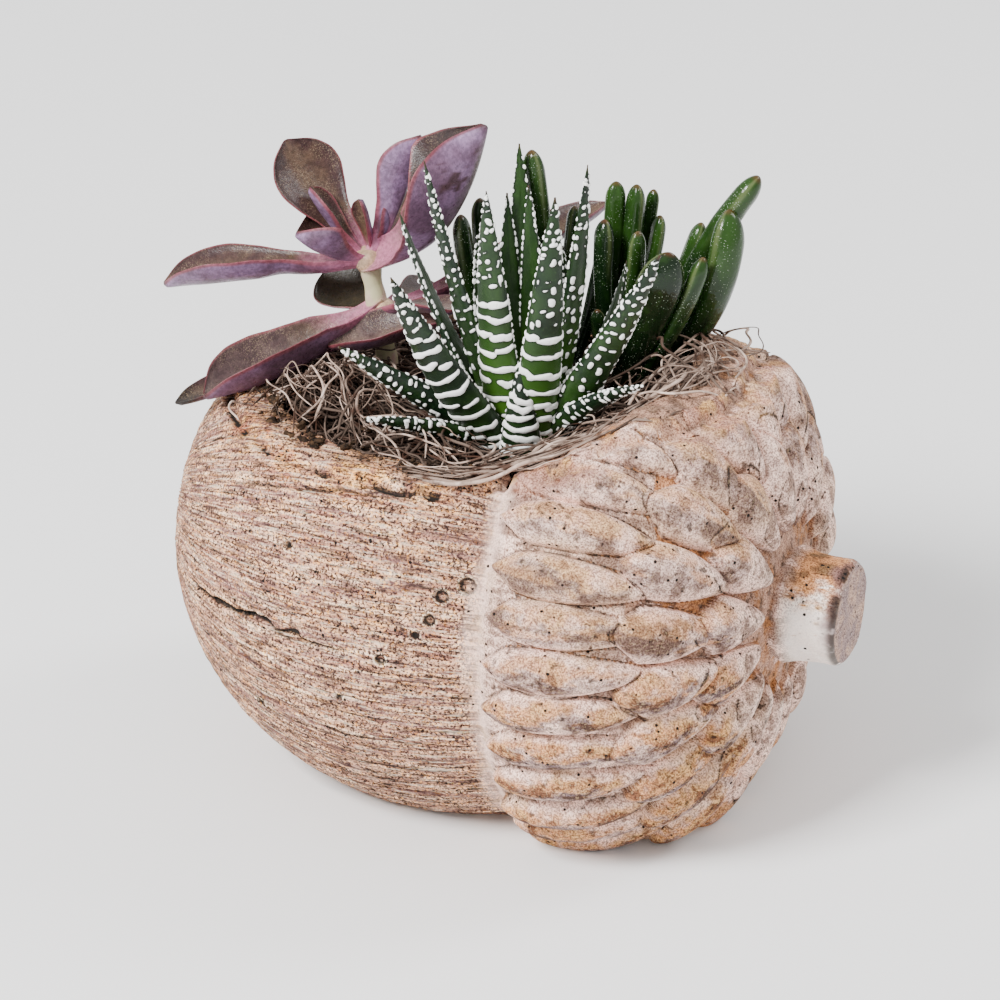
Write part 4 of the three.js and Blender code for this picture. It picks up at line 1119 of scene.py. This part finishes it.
# foot, reach, width, outward, arch, how far the bars go, columns of bars, brightness
HAWORTHIA_LEAVES = (
    ((-4, -2, 0), (-22, -15, 82), 8.5, 235, 1, 0.25, 2, 0.25),
    ((-4, 0, 0), (-31, -11, 65), 8.5, 195, 2, 0.2, 2, 0.1),
    ((-4, -5, 0), (-23, -35, 57), 11.5, 265, 3, 0.72, 1, 0.2),
    ((-1, 3, 0), (-9, 18, 77), 9, 112, 1, 0.3, 2, 0.5),
    ((-2, -5, 0), (-3, -19, 78), 10.5, 268, 2, 0.62, 2, 0.9),
    ((-2, 2, 0), (-10, 12, 65), 8, 140, 1, 0.3, 2, 0.5),
    ((4, -5, 0), (14, -14, 77), 10.5, -62, 3, 0.5, 3, 0.75),
    ((5, -1, 0), (17, 1, 81), 8.5, -20, 2, 0.3, 2, 0.7),
    ((6, -2, 1.5), (40, -6, 62), 9.5, -50, 2, 0.12, 3, 0.35),
    ((3, -9.5, 1), (4, -12.5, 30), 10.5, -70, 2, 0.7, 1, 0.15),
    ((-6, -3, 1), (-41, -29, 32), 8, 228, 0, 0.12, 3, 0.15),
    ((-6, -6, 1), (-32, -34, 15), 6, 235, -1, 0.1, 2, 0.15),
    ((7, -4, 4), (39, -13, 28), 6, -30, -2, 0.1, 2, 0.15),
    ((1, 3, 0), (-4, 12, 68), 8, 80, 1, 0.3, 2, 0.5),
    ((4, 0, 0), (11, -3, 58), 8, -30, 2, 0.3, 2, 0.5),
    ((5, 4, 0), (24, 12, 51), 9, 35, 3, 0.4, 2, 0.4),
    ((0, 6, 0), (2, 22, 48), 9, 82, 3, 0.4, 1, 0.4),
    ((-5, 4, 0), (-20, 16, 50), 9, 140, 3, 0.4, 2, 0.4),
)


# Turn about its own length of each leaf that shows its back to the side, by its place in the list.
HAWORTHIA_TURNS = {2: -18, 8: 16, 10: -62, 11: -58, 12: 50}
# Where the bars of a row start and end across the leaf, by how many stand side by side.
BAR_CUTS = {
    1: [(-0.72, 0.68)],
    2: [(-0.86, -0.14), (0.08, 0.84)],
    3: [(-0.90, -0.42), (-0.26, 0.28), (0.44, 0.90)],
}
# Width of a leaf's back, measured along its round, for each unit of the leaf's width.
BACK_WIDTH = 1.25
# Height over the nearest pearl's edge, for points with no pearl near.
NO_PEARL = -9.0


def bar(rng, u, low, high, wide, grow):
    """A raised white bar across the leaf, uneven in height and thickness."""
    count = 4 if (high - low) * wide > 4 else 3
    at = np.linspace(low, high, count) * wide
    reach = wide + 0.1
    bow = rng.uniform(-0.2, 0.75)
    rise = u + bow * (at / reach) ** 2 + rng.normal(0, 0.34, count) + rng.normal(0, 0.3) * at / reach
    thick = rng.uniform(0.55, 1.08, count) * (0.55 + 0.45 * grow)
    return [(rise[k], at[k], rise[k + 1], at[k + 1], thick[k], thick[k + 1]) for k in range(count - 1)]


def pearl_marks(rng, length, half_at, bars, columns):
    """White marks: (u, v) of both ends of each, in mm along the leaf and across it, and both radii."""
    marks = []
    u = 1.6
    tight = min(1.0, (length / 60) ** 0.75)
    while u < length * 0.985:
        s = u / length
        wide = BACK_WIDTH * half_at(s)
        barred = s < bars and wide > 2.0
        grow = min(1.0, wide / 5.5)
        pitch = tight * (3.7 + 1.3 * math.sin(math.pi * min(1, s * 1.25))) * (0.7 + 0.3 * grow)
        if barred:
            for low, high in BAR_CUTS[columns]:
                low, high = low + rng.uniform(-0.14, 0.12), high + rng.uniform(-0.12, 0.14)
                if columns == 1 and rng.random() < 0.45:
                    middle = rng.uniform(-0.3, 0.3)
                    marks += bar(rng, u + 0.5, low, middle - 0.1, wide, grow)
                    marks += bar(rng, u - 0.4, middle + 0.08, high, wide, grow)
                    continue
                shift = rng.uniform(-0.5, 0.5) * (columns > 1)
                marks += bar(rng, u + shift, low, high, wide, grow)
        else:
            few = (-0.6, 0.0, 0.6) if wide > 2.4 else (-0.4, 0.45)
            for place in (-0.66, -0.22, 0.22, 0.66) if wide > 4.4 else few:
                if rng.random() < 0.08:
                    continue
                tall = rng.uniform(0.1, 0.75) * (0.5 + 0.5 * grow)
                v = (place + rng.uniform(-0.12, 0.12)) * wide
                at = u + rng.uniform(-0.9, 0.9)
                size = rng.choice([rng.uniform(0.26, 0.42), rng.uniform(0.42, 0.72)]) * (0.62 + 0.38 * grow)
                wide_way = rng.random() < 0.45
                end = (at + 0.2, v + 0.8 * tall) if wide_way else (at + tall, v + rng.uniform(-0.3, 0.3))
                start = (at - 0.1, v - 0.8 * tall) if wide_way else (at - tall, v)
                marks.append((*start, *end, size, size * rng.uniform(0.6, 1.15)))
        u += pitch * rng.uniform(0.88, 1.12) * (1 if barred else 0.68)
    u = 3.0
    while u < length * 0.97:
        wide = BACK_WIDTH * half_at(u / length)
        for side in (-1, 1):
            if rng.random() < 0.9:
                at = u + rng.uniform(-0.4, 0.4)
                size = rng.uniform(0.28, 0.5) * min(1, 0.5 + wide / 7)
                marks.append((at - 0.2, side * wide, at + 0.45, side * wide, size, 0.7 * size))
        u += rng.uniform(1.4, 2.3)
    return np.array(marks)


def haworthia_leaf(heap, rng, number, spec):
    foot, reach, width, outward, arch, bars, columns, bright = spec
    placed = dict(root=HAWORTHIA_CROWN + foot, tip=HAWORTHIA_CROWN + reach, outward=outward, arch=arch)
    turned = HAWORTHIA_TURNS.get(number, 0)
    length = float(np.linalg.norm(np.array(reach) - foot))
    n, m = int(length / 0.34), 60
    s = np.linspace(0, 0.999, n)
    slim = 1.25 if length < 35 else 2.4

    def half_at(t):
        return np.maximum(0.2, width / 2 * 1.08 * (1 - np.clip(t, 0, 1) ** slim) ** 0.85)

    half = half_at(s)[:, None]
    turn = 2 * math.pi * (np.arange(m) + 0.5) / m
    cos, sin = np.cos(turn)[None], np.sin(turn)[None]
    outer = sin < 0
    depth = np.where(outer, (0.62 * half + 0.15) * np.abs(sin) ** 0.86, 0.12 * half * np.abs(sin))
    edge = np.arcsin(np.clip(cos, -1, 1)) / (math.pi / 2)
    v_outer = edge * BACK_WIDTH * half
    v_inner = np.sign(cos) * (BACK_WIDTH * half + half * (1 - np.abs(cos)))
    v = np.where(outer, v_outer, v_inner)
    u = s[:, None] * length + 0 * v
    white = np.full(u.shape, NO_PEARL)
    ripple = 0.20 * fractal(joined(u / 1.3, v / 1.3, number), 2, seed=6)
    for u0, v0, u1, v1, start, end in pearl_marks(rng, length, half_at, bars, columns):
        near = np.abs(s * length - (u0 + u1) / 2) < abs(u1 - u0) / 2 + max(start, end) + 1.2
        uu, vv = u[near], v[near]
        du, dv = u1 - u0, v1 - v0
        t = np.clip(((uu - u0) * du + (vv - v0) * dv) / (du * du + dv * dv + 1e-9), 0, 1)
        gap = np.hypot(uu - u0 - t * du, vv - v0 - t * dv) + ripple[near]
        white[near] = np.maximum(white[near], start + t * (end - start) - gap)
    raised = smoothstep(-0.22, 0.42, white)
    wave = 0.12 * fractal(joined(u / 6, v / 6, outward), 2, seed=3)
    swell = 0.48 * raised + wave
    across = (half + swell) * cos
    inner = np.where(outer, -depth + swell * sin, depth + 0.6 * swell * sin)
    twist = np.radians(turned * smoothstep(0.0, 0.35, s))[:, None]
    across, inner = (
        across * np.cos(twist) + inner * np.sin(twist),
        inner * np.cos(twist) - across * np.sin(twist),
    )
    rings = sweep(placed, s, across, inner)
    dark, lively = np.array([0.0050, 0.0150, 0.0060]), np.array([0.045, 0.125, 0.010])
    place = joined(u / 9, v / 5, outward * 0.37)
    lit = bright * (1 - smoothstep(0.08, 0.62, s))[:, None] + 0.12 * bright + 0.16 * fractal(place, 3, seed=4)
    lit = lit + np.where(outer, 0, 0.14)
    colour = mix(dark, lively, np.clip(lit, 0, 1))
    colour = mix(colour, (0.05, 0.020, 0.010), 0.8 * smoothstep(0.965, 1.0, s)[:, None])
    heap.add(rings, tint=colour, pearl=white)


def build_haworthia():
    rng = np.random.default_rng(21)
    heap = Heap()
    for number, spec in enumerate(HAWORTHIA_LEAVES):
        haworthia_leaf(heap, rng, number, spec)
    z, r = np.array([-8.5, -4, 0, 3, 5.5]), np.array([5, 8.6, 8.4, 7, 4.5])
    crown = disc(z, r, 32) + HAWORTHIA_CROWN
    dark = np.broadcast_to([0.01, 0.022, 0.008], crown.shape)
    heap.add(crown, tint=dark, pearl=np.full(crown.shape[:2], NO_PEARL))
    haworthia = heap.build("zebra_haworthia")
    s = Shader("haworthia_leaf")
    pearl = s.value("pearl")
    green = s.blend(s.colour("tint"), (0.05, 0.105, 0.025), s.ramp(s.noise(1300, 3), 0.54, 0.8, 0, 0.3))
    # Painted shade: a dark edge round each raised white mark.
    green = s.blend(green, (0.002, 0.005, 0.003), s.ramp(pearl, -0.6, -0.06, 0, 0.7))
    white = s.blend((0.97, 0.97, 0.94), (0.70, 0.74, 0.66), s.ramp(s.noise(1600, 2), 0.48, 0.75, 0, 0.5))
    mask = s.ramp(pearl, -0.05, 0.06)
    colour = s.blend(green, white, mask)
    s.bump(s.noise(2600, 3), 0.10)
    material = s.finish(colour, s.ramp(mask, 0, 1, 0.30, 0.5), 0.28)
    dress(haworthia, material, ["haworthia_rosette"])


# ---- echeveria ----
STEM_FOOT, STEM_HEAD, STEM_R = np.array([-39, 10, 92.0]), np.array([-48, 12, 137.5]), 2.8
UPPER_HUB, LOWER_HUB = np.array([-48, 12, 138.0]), np.array([-43.5, 11, 123.5])
SPOON = ((0, 0.32), (0.18, 0.34), (0.38, 0.52), (0.56, 0.84), (0.7, 1), (0.84, 0.88), (0.94, 0.52), (1, 0.06))
STRAP = ((0, 0.26), (0.12, 0.34), (0.3, 0.66), (0.5, 0.92), (0.7, 1), (0.83, 0.86), (0.93, 0.56), (1, 0.06))
BOAT = ((0, 0.30), (0.14, 0.62), (0.32, 0.92), (0.5, 1), (0.7, 0.92), (0.86, 0.64), (0.95, 0.32), (1, 0.06))
UPPER_LEAVES = (
    dict(reach=(-25, 1, 30), width=22, outward=175, arch=2, roll=25, cup=0.25),
    dict(reach=(-16, -3, 19), width=8, outward=190, arch=1, cup=0.7),
    dict(reach=(0, -6, 19), width=6, outward=60, arch=1, cup=0.5),
    dict(reach=(-15, -14, 10), width=17, outward=228, arch=2, cup=0.9),
    dict(reach=(-51, -24, -7), width=20, outward=205, arch=0.4, roll=-9, cup=0.62),
    dict(reach=(13, 6, 35), width=15, outward=-20, arch=0, sway=2, cup=0.7),
    dict(reach=(36, -4, 45), width=31, outward=-40, arch=11, roll=-58, cup=0.98,
         rubbed=1.0, dim=0.6, bloom_and_light=1.55),
    dict(reach=(14, 10, 4), width=9, outward=30, arch=1, cup=0.4),
    dict(reach=(5, 32, 8), width=16, outward=85, arch=3, cup=0.4),
    dict(reach=(4, 3, 15), width=6, outward=30, arch=1, cup=0.6),
)
LOWER_LEAVES = (
    dict(foot=(-1, 0, 3), reach=(-35.2, -41, -15.5), width=18, outward=230, arch=4.3, roll=-4, cup=1.0,
         form=STRAP, grey=1.0, bloom_and_light=1.5),
    dict(foot=(-3, -2, -5), reach=(-45, -39, -20), width=12, outward=222, arch=2, sway=-2, cup=0.3, dry=1.0),
    dict(foot=(21, 0, 3), reach=(-9, -17, -6), width=15, outward=230, arch=2.5, roll=2, cup=0.72,
         form=BOAT, old=1.0),
    dict(reach=(26, -11, 8), width=13, outward=-40, arch=-1, cup=0.3, stout=0.5, old=1.0),
    dict(reach=(-20, 8, 6.5), width=19, outward=125, arch=2, roll=20, cup=0.2, shaded=1.0),
    dict(reach=(50, 42, 23.5), width=15, outward=40, arch=3, cup=0.5, rubbed=0.6),
    dict(reach=(7, 30, -6), width=15, outward=80, arch=-2, cup=0.4),
)


# Colours of the echeveria: upper face, lilac bloom, worn bloom, petiole, rim and pale foot.
INNER_DARK, INNER_TAN, INNER_OLIVE = (0.042, 0.020, 0.020), (0.098, 0.060, 0.038), (0.105, 0.070, 0.012)
GREY_DARK, GREY_TAN = (0.058, 0.034, 0.034), (0.125, 0.085, 0.070)
LILAC, LILAC_LIGHT, RUBBED = (0.092, 0.050, 0.082), (0.200, 0.125, 0.215), (0.050, 0.020, 0.014)
PETIOLE, MARGIN, FOOT = (0.42, 0.150, 0.235), (0.23, 0.060, 0.070), (0.46, 0.36, 0.20)
MARGIN_DARK, POINT = (0.10, 0.022, 0.028), (0.05, 0.012, 0.014)
DRY_TIP, SHADED = (0.012, 0.008, 0.006), (0.016, 0.013, 0.003)


def spoon_colours(number, spec, s, u, signed, half, is_inner):
    place = joined(u / 9, signed * half / 9, 3.3 * number)
    mottled = fractal(place * 3.2, 4, 0.62, seed=91)
    patch = fractal(place * 1.1, 3, seed=92)
    across = fractal(joined(u / 26, signed * half / 3.2, number), 3, 0.6, seed=93)
    long = s[:, None]
    old, rubbed = spec.get("old", 0), spec.get("rubbed", 0.25)
    tan = smoothstep(-0.1, 0.9, 0.35 * mottled + 0.3 * patch + 0.75 - 0.95 * np.abs(signed))
    inner = mix(mix(INNER_DARK, INNER_TAN, tan), mix(GREY_DARK, GREY_TAN, tan), max(spec.get("grey", 0), old))
    olive = 0.45 * smoothstep(0.55, 0.2, long) * smoothstep(-0.4, 0.3, patch)
    inner = mix(inner * spec.get("dim", 1), INNER_OLIVE, olive)
    wear = smoothstep(0.02, 0.14, 0.45 * patch + 0.6 * mottled + (0.42 - np.abs(signed)))
    wear = wear * smoothstep(0.36, 0.5, long) * smoothstep(0.96, 0.86, long) * rubbed
    scratch = smoothstep(0.62, 0.78, fractal(place * [0.9, 5, 1], 3, 0.6, seed=94)) * 0.8
    bloom = mix(LILAC, LILAC_LIGHT, smoothstep(-0.5, 0.6, patch + 0.35 * across))
    # The lilac is the leaves' own bloom. How bright it is painted is partly painted light, brighter on the
    # two leaves that catch the most.
    bloom = coats(
        bloom * spec.get("bloom_and_light", 1.12),
        (RUBBED, np.clip(wear + scratch * rubbed, 0, 0.92)),
        (mix(RUBBED, LILAC, tan), old * 0.6),
    )
    wide = np.maximum(half, 1)
    rim = smoothstep(1 - 0.55 / wide, 1 - 0.15 / wide, np.abs(signed))
    pink = (1 - smoothstep(0.08, 0.40, long + 0.05 * mottled)) * (1 - 0.7 * old)
    colour = coats(
        mix(bloom, inner, is_inner),
        (mix(MARGIN, MARGIN_DARK, 0.5 * smoothstep(0.6, 1, long)), 0.85 * rim),
        (PETIOLE, 0.85 * pink),
        (FOOT, 0.8 * (1 - smoothstep(0.0, 0.07, long))),
        (POINT, 0.8 * smoothstep(0.975, 1.0, long)),
    )
    if "dry" in spec:
        colour = mix(colour, DRY_TIP, smoothstep(0.8, 0.95, long))
    if "shaded" in spec:
        colour = mix(colour, SHADED, 0.9 - 0.8 * rim)
    return colour


def spoon_leaf(heap, number, spec, hub):
    placed = dict(spec, root=hub + np.array(spec.get("foot", (0, 0, 0))), tip=hub + np.array(spec["reach"]))
    length = float(np.linalg.norm(placed["tip"] - placed["root"]))
    n, half_m = max(48, int(length / 0.5)), 36
    s = 1 - (1 - np.linspace(0, 1, n)) ** 1.25
    stalk = spec.get("stout", 0) * (1 - s)
    half = (spec["width"] / 2 * np.maximum(stalk, profile(spec.get("form", SPOON), s)))[:, None]
    cup = spec["cup"] * half * np.minimum(1, s * 2.5 + 0.2)[:, None]
    thick = (1.1 + 1.3 * (1 - s))[:, None] * np.minimum(1, half / 1.6)
    a = np.cos(np.linspace(0, math.pi, half_m))[None]
    lift = 0.35 * (1 - np.abs(a)) ** 0.6 + 0.3 * np.minimum(1, half / 5) * bell(np.abs(a) - 0.93, 0.06)
    inner = joined(half * a, cup * a**2 + lift)
    b = -a[:, 1:-1]
    outer = joined(half * b, cup * b**2 - thick * np.sqrt(1 - b**2))
    section = np.concatenate([inner, outer], 1)
    signed = np.concatenate([a[0], b[0]])[None] + 0 * half
    is_inner = np.concatenate([np.ones(half_m), np.zeros(half_m - 2)])[None] + 0 * half
    u = s[:, None] * length + 0 * signed
    place = joined(u / 14, signed * half / 14, 3.3 * number)
    soft = 0.8 * fractal(place, 2, seed=90) * np.sin(math.pi * s)[:, None]
    veins = 0.10 * fractal(joined(u / 30, signed * half / 1.6, number), 2, seed=95) * (1 - signed**2)
    keel = bell(signed, 0.16) * (1 - is_inner) * 0.55 * (1 - 0.6 * s)[:, None] * np.minimum(1, half / 3)
    rings = sweep(placed, s, section[..., 0], section[..., 1] + soft + veins - keel)
    colour = spoon_colours(number, spec, s, u, signed, half, is_inner)
    # The inner value also sets how strong the painted glints are: less on the dimmed leaf, none on the shaded
    # one.
    heap.add(rings, tint=colour, inner=is_inner * (1 - spec.get("shaded", 0)) * spec.get("dim", 1))


def collar(heap, hub, radius):
    """The short pale ring that joins the feet of a whorl's leaves."""
    z, r = np.array([-4.0, -2.2, -0.5, 1.2, 2.5]), np.array([0.72, 1.0, 1.05, 0.9, 0.5]) * radius
    rings = disc(z, r, 28) + hub
    heap.add(rings, tint=np.broadcast_to([0.46, 0.32, 0.20], rings.shape), inner=np.zeros(rings.shape[:2]))


def echeveria_leaf_material():
    s = Shader("echeveria_leaf")
    inner, tint = s.value("inner"), s.colour("tint")
    cloudy = s.shades(s.noise(900, 4), (0.78, 0.76, 0.78), (1.22, 1.18, 1.22), 0.35, 0.65)
    tint = s.blend(tint, cloudy, 1.0, "MULTIPLY")
    # Fine tan specks on the inner faces: dust with painted glints, weaker on the dimmed leaf and none on the
    # shaded one.
    dust_and_glints = s.ramp(s.noise(3200, 3, 0.7), 0.53, 0.64)
    glint = s.times(s.times(dust_and_glints, s.ramp(s.noise(150, 3), 0.36, 0.62)), inner)
    tint = s.blend(tint, (0.42, 0.31, 0.20), s.times(glint, 0.55))
    tint = s.blend(tint, (0.03, 0.012, 0.012), s.ramp(s.cells(900), 0.16, 0.06, 0, 0.6))
    s.bump(s.plus(s.noise(2400, 3), s.times(s.noise(420, 2), 1.5)), 0.10)
    return s.finish(tint, s.ramp(s.noise(700, 2), 0.3, 0.7, 0.27, 0.40), 0.32)


def build_echeveria():
    material = echeveria_leaf_material()
    for name, leaves, hub, node in (
        ("echeveria_upper_whorl", UPPER_LEAVES, UPPER_HUB, "echeveria_rosette"),
        ("echeveria_lower_whorl", LOWER_LEAVES, LOWER_HUB, "echeveria_lower_leaves"),
    ):
        heap = Heap()
        for number, spec in enumerate(leaves):
            spoon_leaf(heap, number, spec, hub)
        collar(heap, hub, 4.0)
        dress(heap.build(name), material, [node])
    t = np.linspace(0, 1, 90)
    path = STEM_FOOT + t[:, None] * (STEM_HEAD - STEM_FOOT)
    ring = strand(path, 1.0, 32) - path[:, None]
    wide = STEM_R * (1 + 0.05 * np.cos(t * 34) + 0.10 * bell(t - 0.70, 0.03))
    rings = path[:, None] + ring / np.linalg.norm(ring, axis=2)[..., None] * wide[:, None, None]
    heap = Heap()
    heap.add(rings + 0.12 * fractal(rings / 3, 2, seed=99)[..., None] * [1, 1, 0])
    stem = heap.build("echeveria_stalk")
    s = Shader("echeveria_stem")
    pale = s.blend((0.50, 0.46, 0.27), (0.52, 0.33, 0.30), s.ramp(s.noise(120, 3), 0.4, 0.7))
    pale = s.blend(pale, (0.22, 0.12, 0.06), s.ramp(s.noise(600, 3), 0.62, 0.8, 0, 0.5))
    s.bump(s.noise(900, 3), 0.15)
    dress(stem, s.finish(pale, 0.5, 0.3), ["echeveria_stem"])


# ---- crassula ----
FINGER = ((0, 0.5), (0.25, 0.62), (0.55, 0.9), (0.76, 1), (0.9, 0.97), (1, 0.9))
# foot, then tip, width, outward, arch, flatness and light of each leaf
CRASSULA_SHOOTS = (
    ((-11, 18, 96), (
        ((-21, 13, 154), 6.5, 190, 2, 0.85, 0.3),
        ((-20, 24, 155), 5.5, 150, 2, 0.85, 0.2),
        ((-5, 25, 142), 6, 80, 1, 0.85, 0.2),
        ((-15, 24, 131), 6, 120, 1, 0.85, 0.2),
    )),
    ((7, 21, 97), (
        ((1, 10, 177), 7.5, 230, 1, 0.85, 0.5),
        ((8, 24, 157), 4.5, 180, 1, 0.85, 0.4),
        ((13, 38, 148), 6, 80, 3, 0.85, 0.2),
        ((2, 38, 136), 6, 110, 3, 0.85, 0.2),
    )),
    ((20, 20, 98), (
        ((19, 18, 157), 6.5, 230, 1, 0.85, 0.1),
        ((19, 26, 165), 6, 120, 1, 0.85, 0.8),
        ((25, 26, 165), 6, 60, 1, 0.85, 0.45),
        ((31, 11, 158), 5.5, -20, 2, 0.85, 0.6),
        ((27, 34, 161), 4, 80, 2, 0.85, 0.5),
        ((30, 31, 155), 5, 50, 2, 0.85, 0.9),
        ((21, 8, 135), 4.5, 270, 1, 0.85, 0.1),
        ((20, 43, 142), 6, 90, 3, 0.85, 0.3),
    )),
    ((27, 6, 100), (
        ((43, 3, 157), 13, -60, 1, 0.55, 0.04),
        ((50, 10, 154), 6, -10, 3, 0.85, 0.5),
        ((37, 13, 146), 5, 30, 1, 0.85, 0.2),
    )),
    ((30, 20, 102), (
        ((59, 27, 172), 8.5, 0, -3, 0.85, 0.7),
        ((53, 21, 164), 11, -20, 8, 0.8, 0.8),
        ((43, 28, 156), 6, 30, 0, 0.85, 0.7),
        ((44, 40, 146), 6, 60, 2, 0.85, 0.4),
        ((30, 38, 138), 6, 100, 3, 0.85, 0.3),
    )),
)


def finger_leaf(heap, number, foot, spec):
    tip, width, outward, arch, flat, light = spec
    placed = dict(root=np.array(foot) + [0, 0, 9.0], tip=tip, outward=outward, arch=arch)
    length = float(np.linalg.norm(np.array(tip) - placed["root"]))
    dome = 0.85 * width / length
    round_end = 1 - dome * (1 - np.sin(np.linspace(0.06, 1.54, 22)))
    s = np.concatenate([np.linspace(0, 1 - dome, int(length / 0.8)), round_end])
    cos, sin = np.cos(circle(40)), np.sin(circle(40))
    over = np.clip((s - (1 - dome)) / dome, 0, 1)
    half = (width / 2 * profile(FINGER, s) * np.clip(1 - over**2.1, 0.0004, 1) ** 0.56)[:, None]
    place = joined(s[:, None] * length / 9, cos, sin + 4.7 * number)
    lump = 1 + 0.04 * fractal(place, 2, seed=100)
    trough = 0.42 if flat < 0.7 else 0.16
    dip = trough * bell(cos, 0.5) * (sin > 0) * smoothstep(0.3, 0.7, s)[:, None]
    across = half * cos * lump
    inner = flat * half * (np.sign(sin) * np.abs(sin) ** 1.15 * lump - dip)
    rings = sweep(placed, s, across, inner)
    deep, fresh = np.array([0.0035, 0.0125, 0.0030]), np.array([0.030, 0.085, 0.010])
    lit = 0.62 * light * smoothstep(0.25, 0.95, s)[:, None] + 0.16 * fractal(place * 1.7, 3, seed=101)
    colour = mix(deep, fresh, np.clip(lit, 0, 1))
    edge = smoothstep(0.93, 1.0, np.abs(cos))[None] * smoothstep(0.6, 0.95, s)[:, None]
    colour = mix(colour, (0.12, 0.15, 0.06), 0.6 * edge)
    colour = mix(colour, (0.12, 0.035, 0.018), 0.5 * smoothstep(0.975, 1.0, s)[:, None])
    heap.add(rings, tint=colour)


def build_crassula():
    s = Shader("crassula_leaf")
    tint = s.colour("tint")
    tint = s.blend(tint, (0.028, 0.072, 0.011), s.ramp(s.noise(350, 3), 0.5, 0.8, 0, 0.3))
    dots = s.times(s.ramp(s.cells(1500), 0.24, 0.12), s.ramp(s.noise(210, 2), 0.42, 0.6))
    tint = s.blend(tint, (0.55, 0.62, 0.50), s.times(dots, 0.6))
    s.bump(s.plus(s.noise(900, 2), s.times(dots, 0.8)), 0.10)
    material = s.finish(tint, s.ramp(s.noise(420, 2), 0.3, 0.7, 0.10, 0.22), 0.28)
    number = 0
    for index, (foot, leaves) in enumerate(CRASSULA_SHOOTS):
        heap = Heap()
        for spec in leaves:
            finger_leaf(heap, number, foot, spec)
            number += 1
        t = np.linspace(0, 1, 14)
        path = np.array(foot) + t[:, None] * [0, 0, 12.0]
        rings = strand(path, 3.0, 20)
        heap.add(rings, tint=np.broadcast_to([0.05, 0.05, 0.022], rings.shape))
        node = "crassula_shoot_%d" % (index + 1)
        dress(heap.build("finger_" + node), material, [node])


# ---- camera, floor and light ----
# The camera is turned 22.5 degrees about Z and looks down by 26: its aim, its three axes and its distance.
TARGET = np.array([-3.47, -1.35, 77.86])
RIGHT = np.array([0.92388, 0.38268, 0.0])
UP = np.array([-0.16776, 0.40500, 0.89879])
BACK = np.array([0.34395, -0.83038, 0.43837])
DISTANCE = 1100
# Focal length and width of the photo in pixels, and the sensor's width in mm.
FOCAL_PIXELS, PHOTO_PIXELS, SENSOR = 4008, 1000, 36


def build_camera():
    data = bpy.data.cameras.new("camera")
    data.sensor_width = SENSOR
    data.lens = FOCAL_PIXELS / PHOTO_PIXELS * SENSOR
    data.clip_start, data.clip_end = 0.05, 20
    camera = bpy.data.objects.new("camera", data)
    bpy.context.scene.collection.objects.link(camera)
    turn = Matrix([RIGHT, UP, BACK]).transposed().to_4x4()
    camera.matrix_world = Matrix.Translation((TARGET + DISTANCE * BACK) * MM) @ turn
    bpy.context.scene.camera = camera


FLOOR_REACH = 6.0
LIT_POINT = Vector((0, 0, 0.1))


def area_light(name, place, size, watts):
    data = bpy.data.lights.new(name, "AREA")
    data.shape = "RECTANGLE"
    data.size, data.size_y = size
    data.energy = watts
    light = bpy.data.objects.new(name, data)
    bpy.context.scene.collection.objects.link(light)
    light.location = place
    light.rotation_euler = (LIT_POINT - Vector(place)).to_track_quat("-Z", "Y").to_euler()


def build_studio():
    corners = [(x * FLOOR_REACH, y * FLOOR_REACH, 0) for x, y in ((-1, -1), (1, -1), (1, 1), (-1, 1))]
    plane = bpy.data.meshes.new("floor")
    plane.from_pydata(corners, [], [(0, 1, 2, 3)])
    floor = bpy.data.objects.new("floor", plane)
    bpy.context.scene.collection.objects.link(floor)
    s = Shader("floor")
    white = s.blend((0.90, 0.90, 0.90), (0.88, 0.88, 0.885), s.noise(6, 2))
    plane.materials.append(s.finish(white, 0.9, 0.1))
    world = bpy.data.worlds.new("studio")
    bpy.context.scene.world = world
    world.use_nodes = True
    sky = world.node_tree.nodes["Background"]
    sky.inputs["Color"].default_value = (1.0, 1.0, 1.0, 1)
    sky.inputs["Strength"].default_value = 0.92
    area_light("key", (-0.75, -1.45, 1.65), (0.7, 0.7), 105)
    area_light("rim", (1.1, 0.9, 1.3), (0.5, 0.9), 16)


build_camera()
build_planter()
build_soil()
build_moss()
build_echeveria()
build_haworthia()
build_crassula()
build_studio()
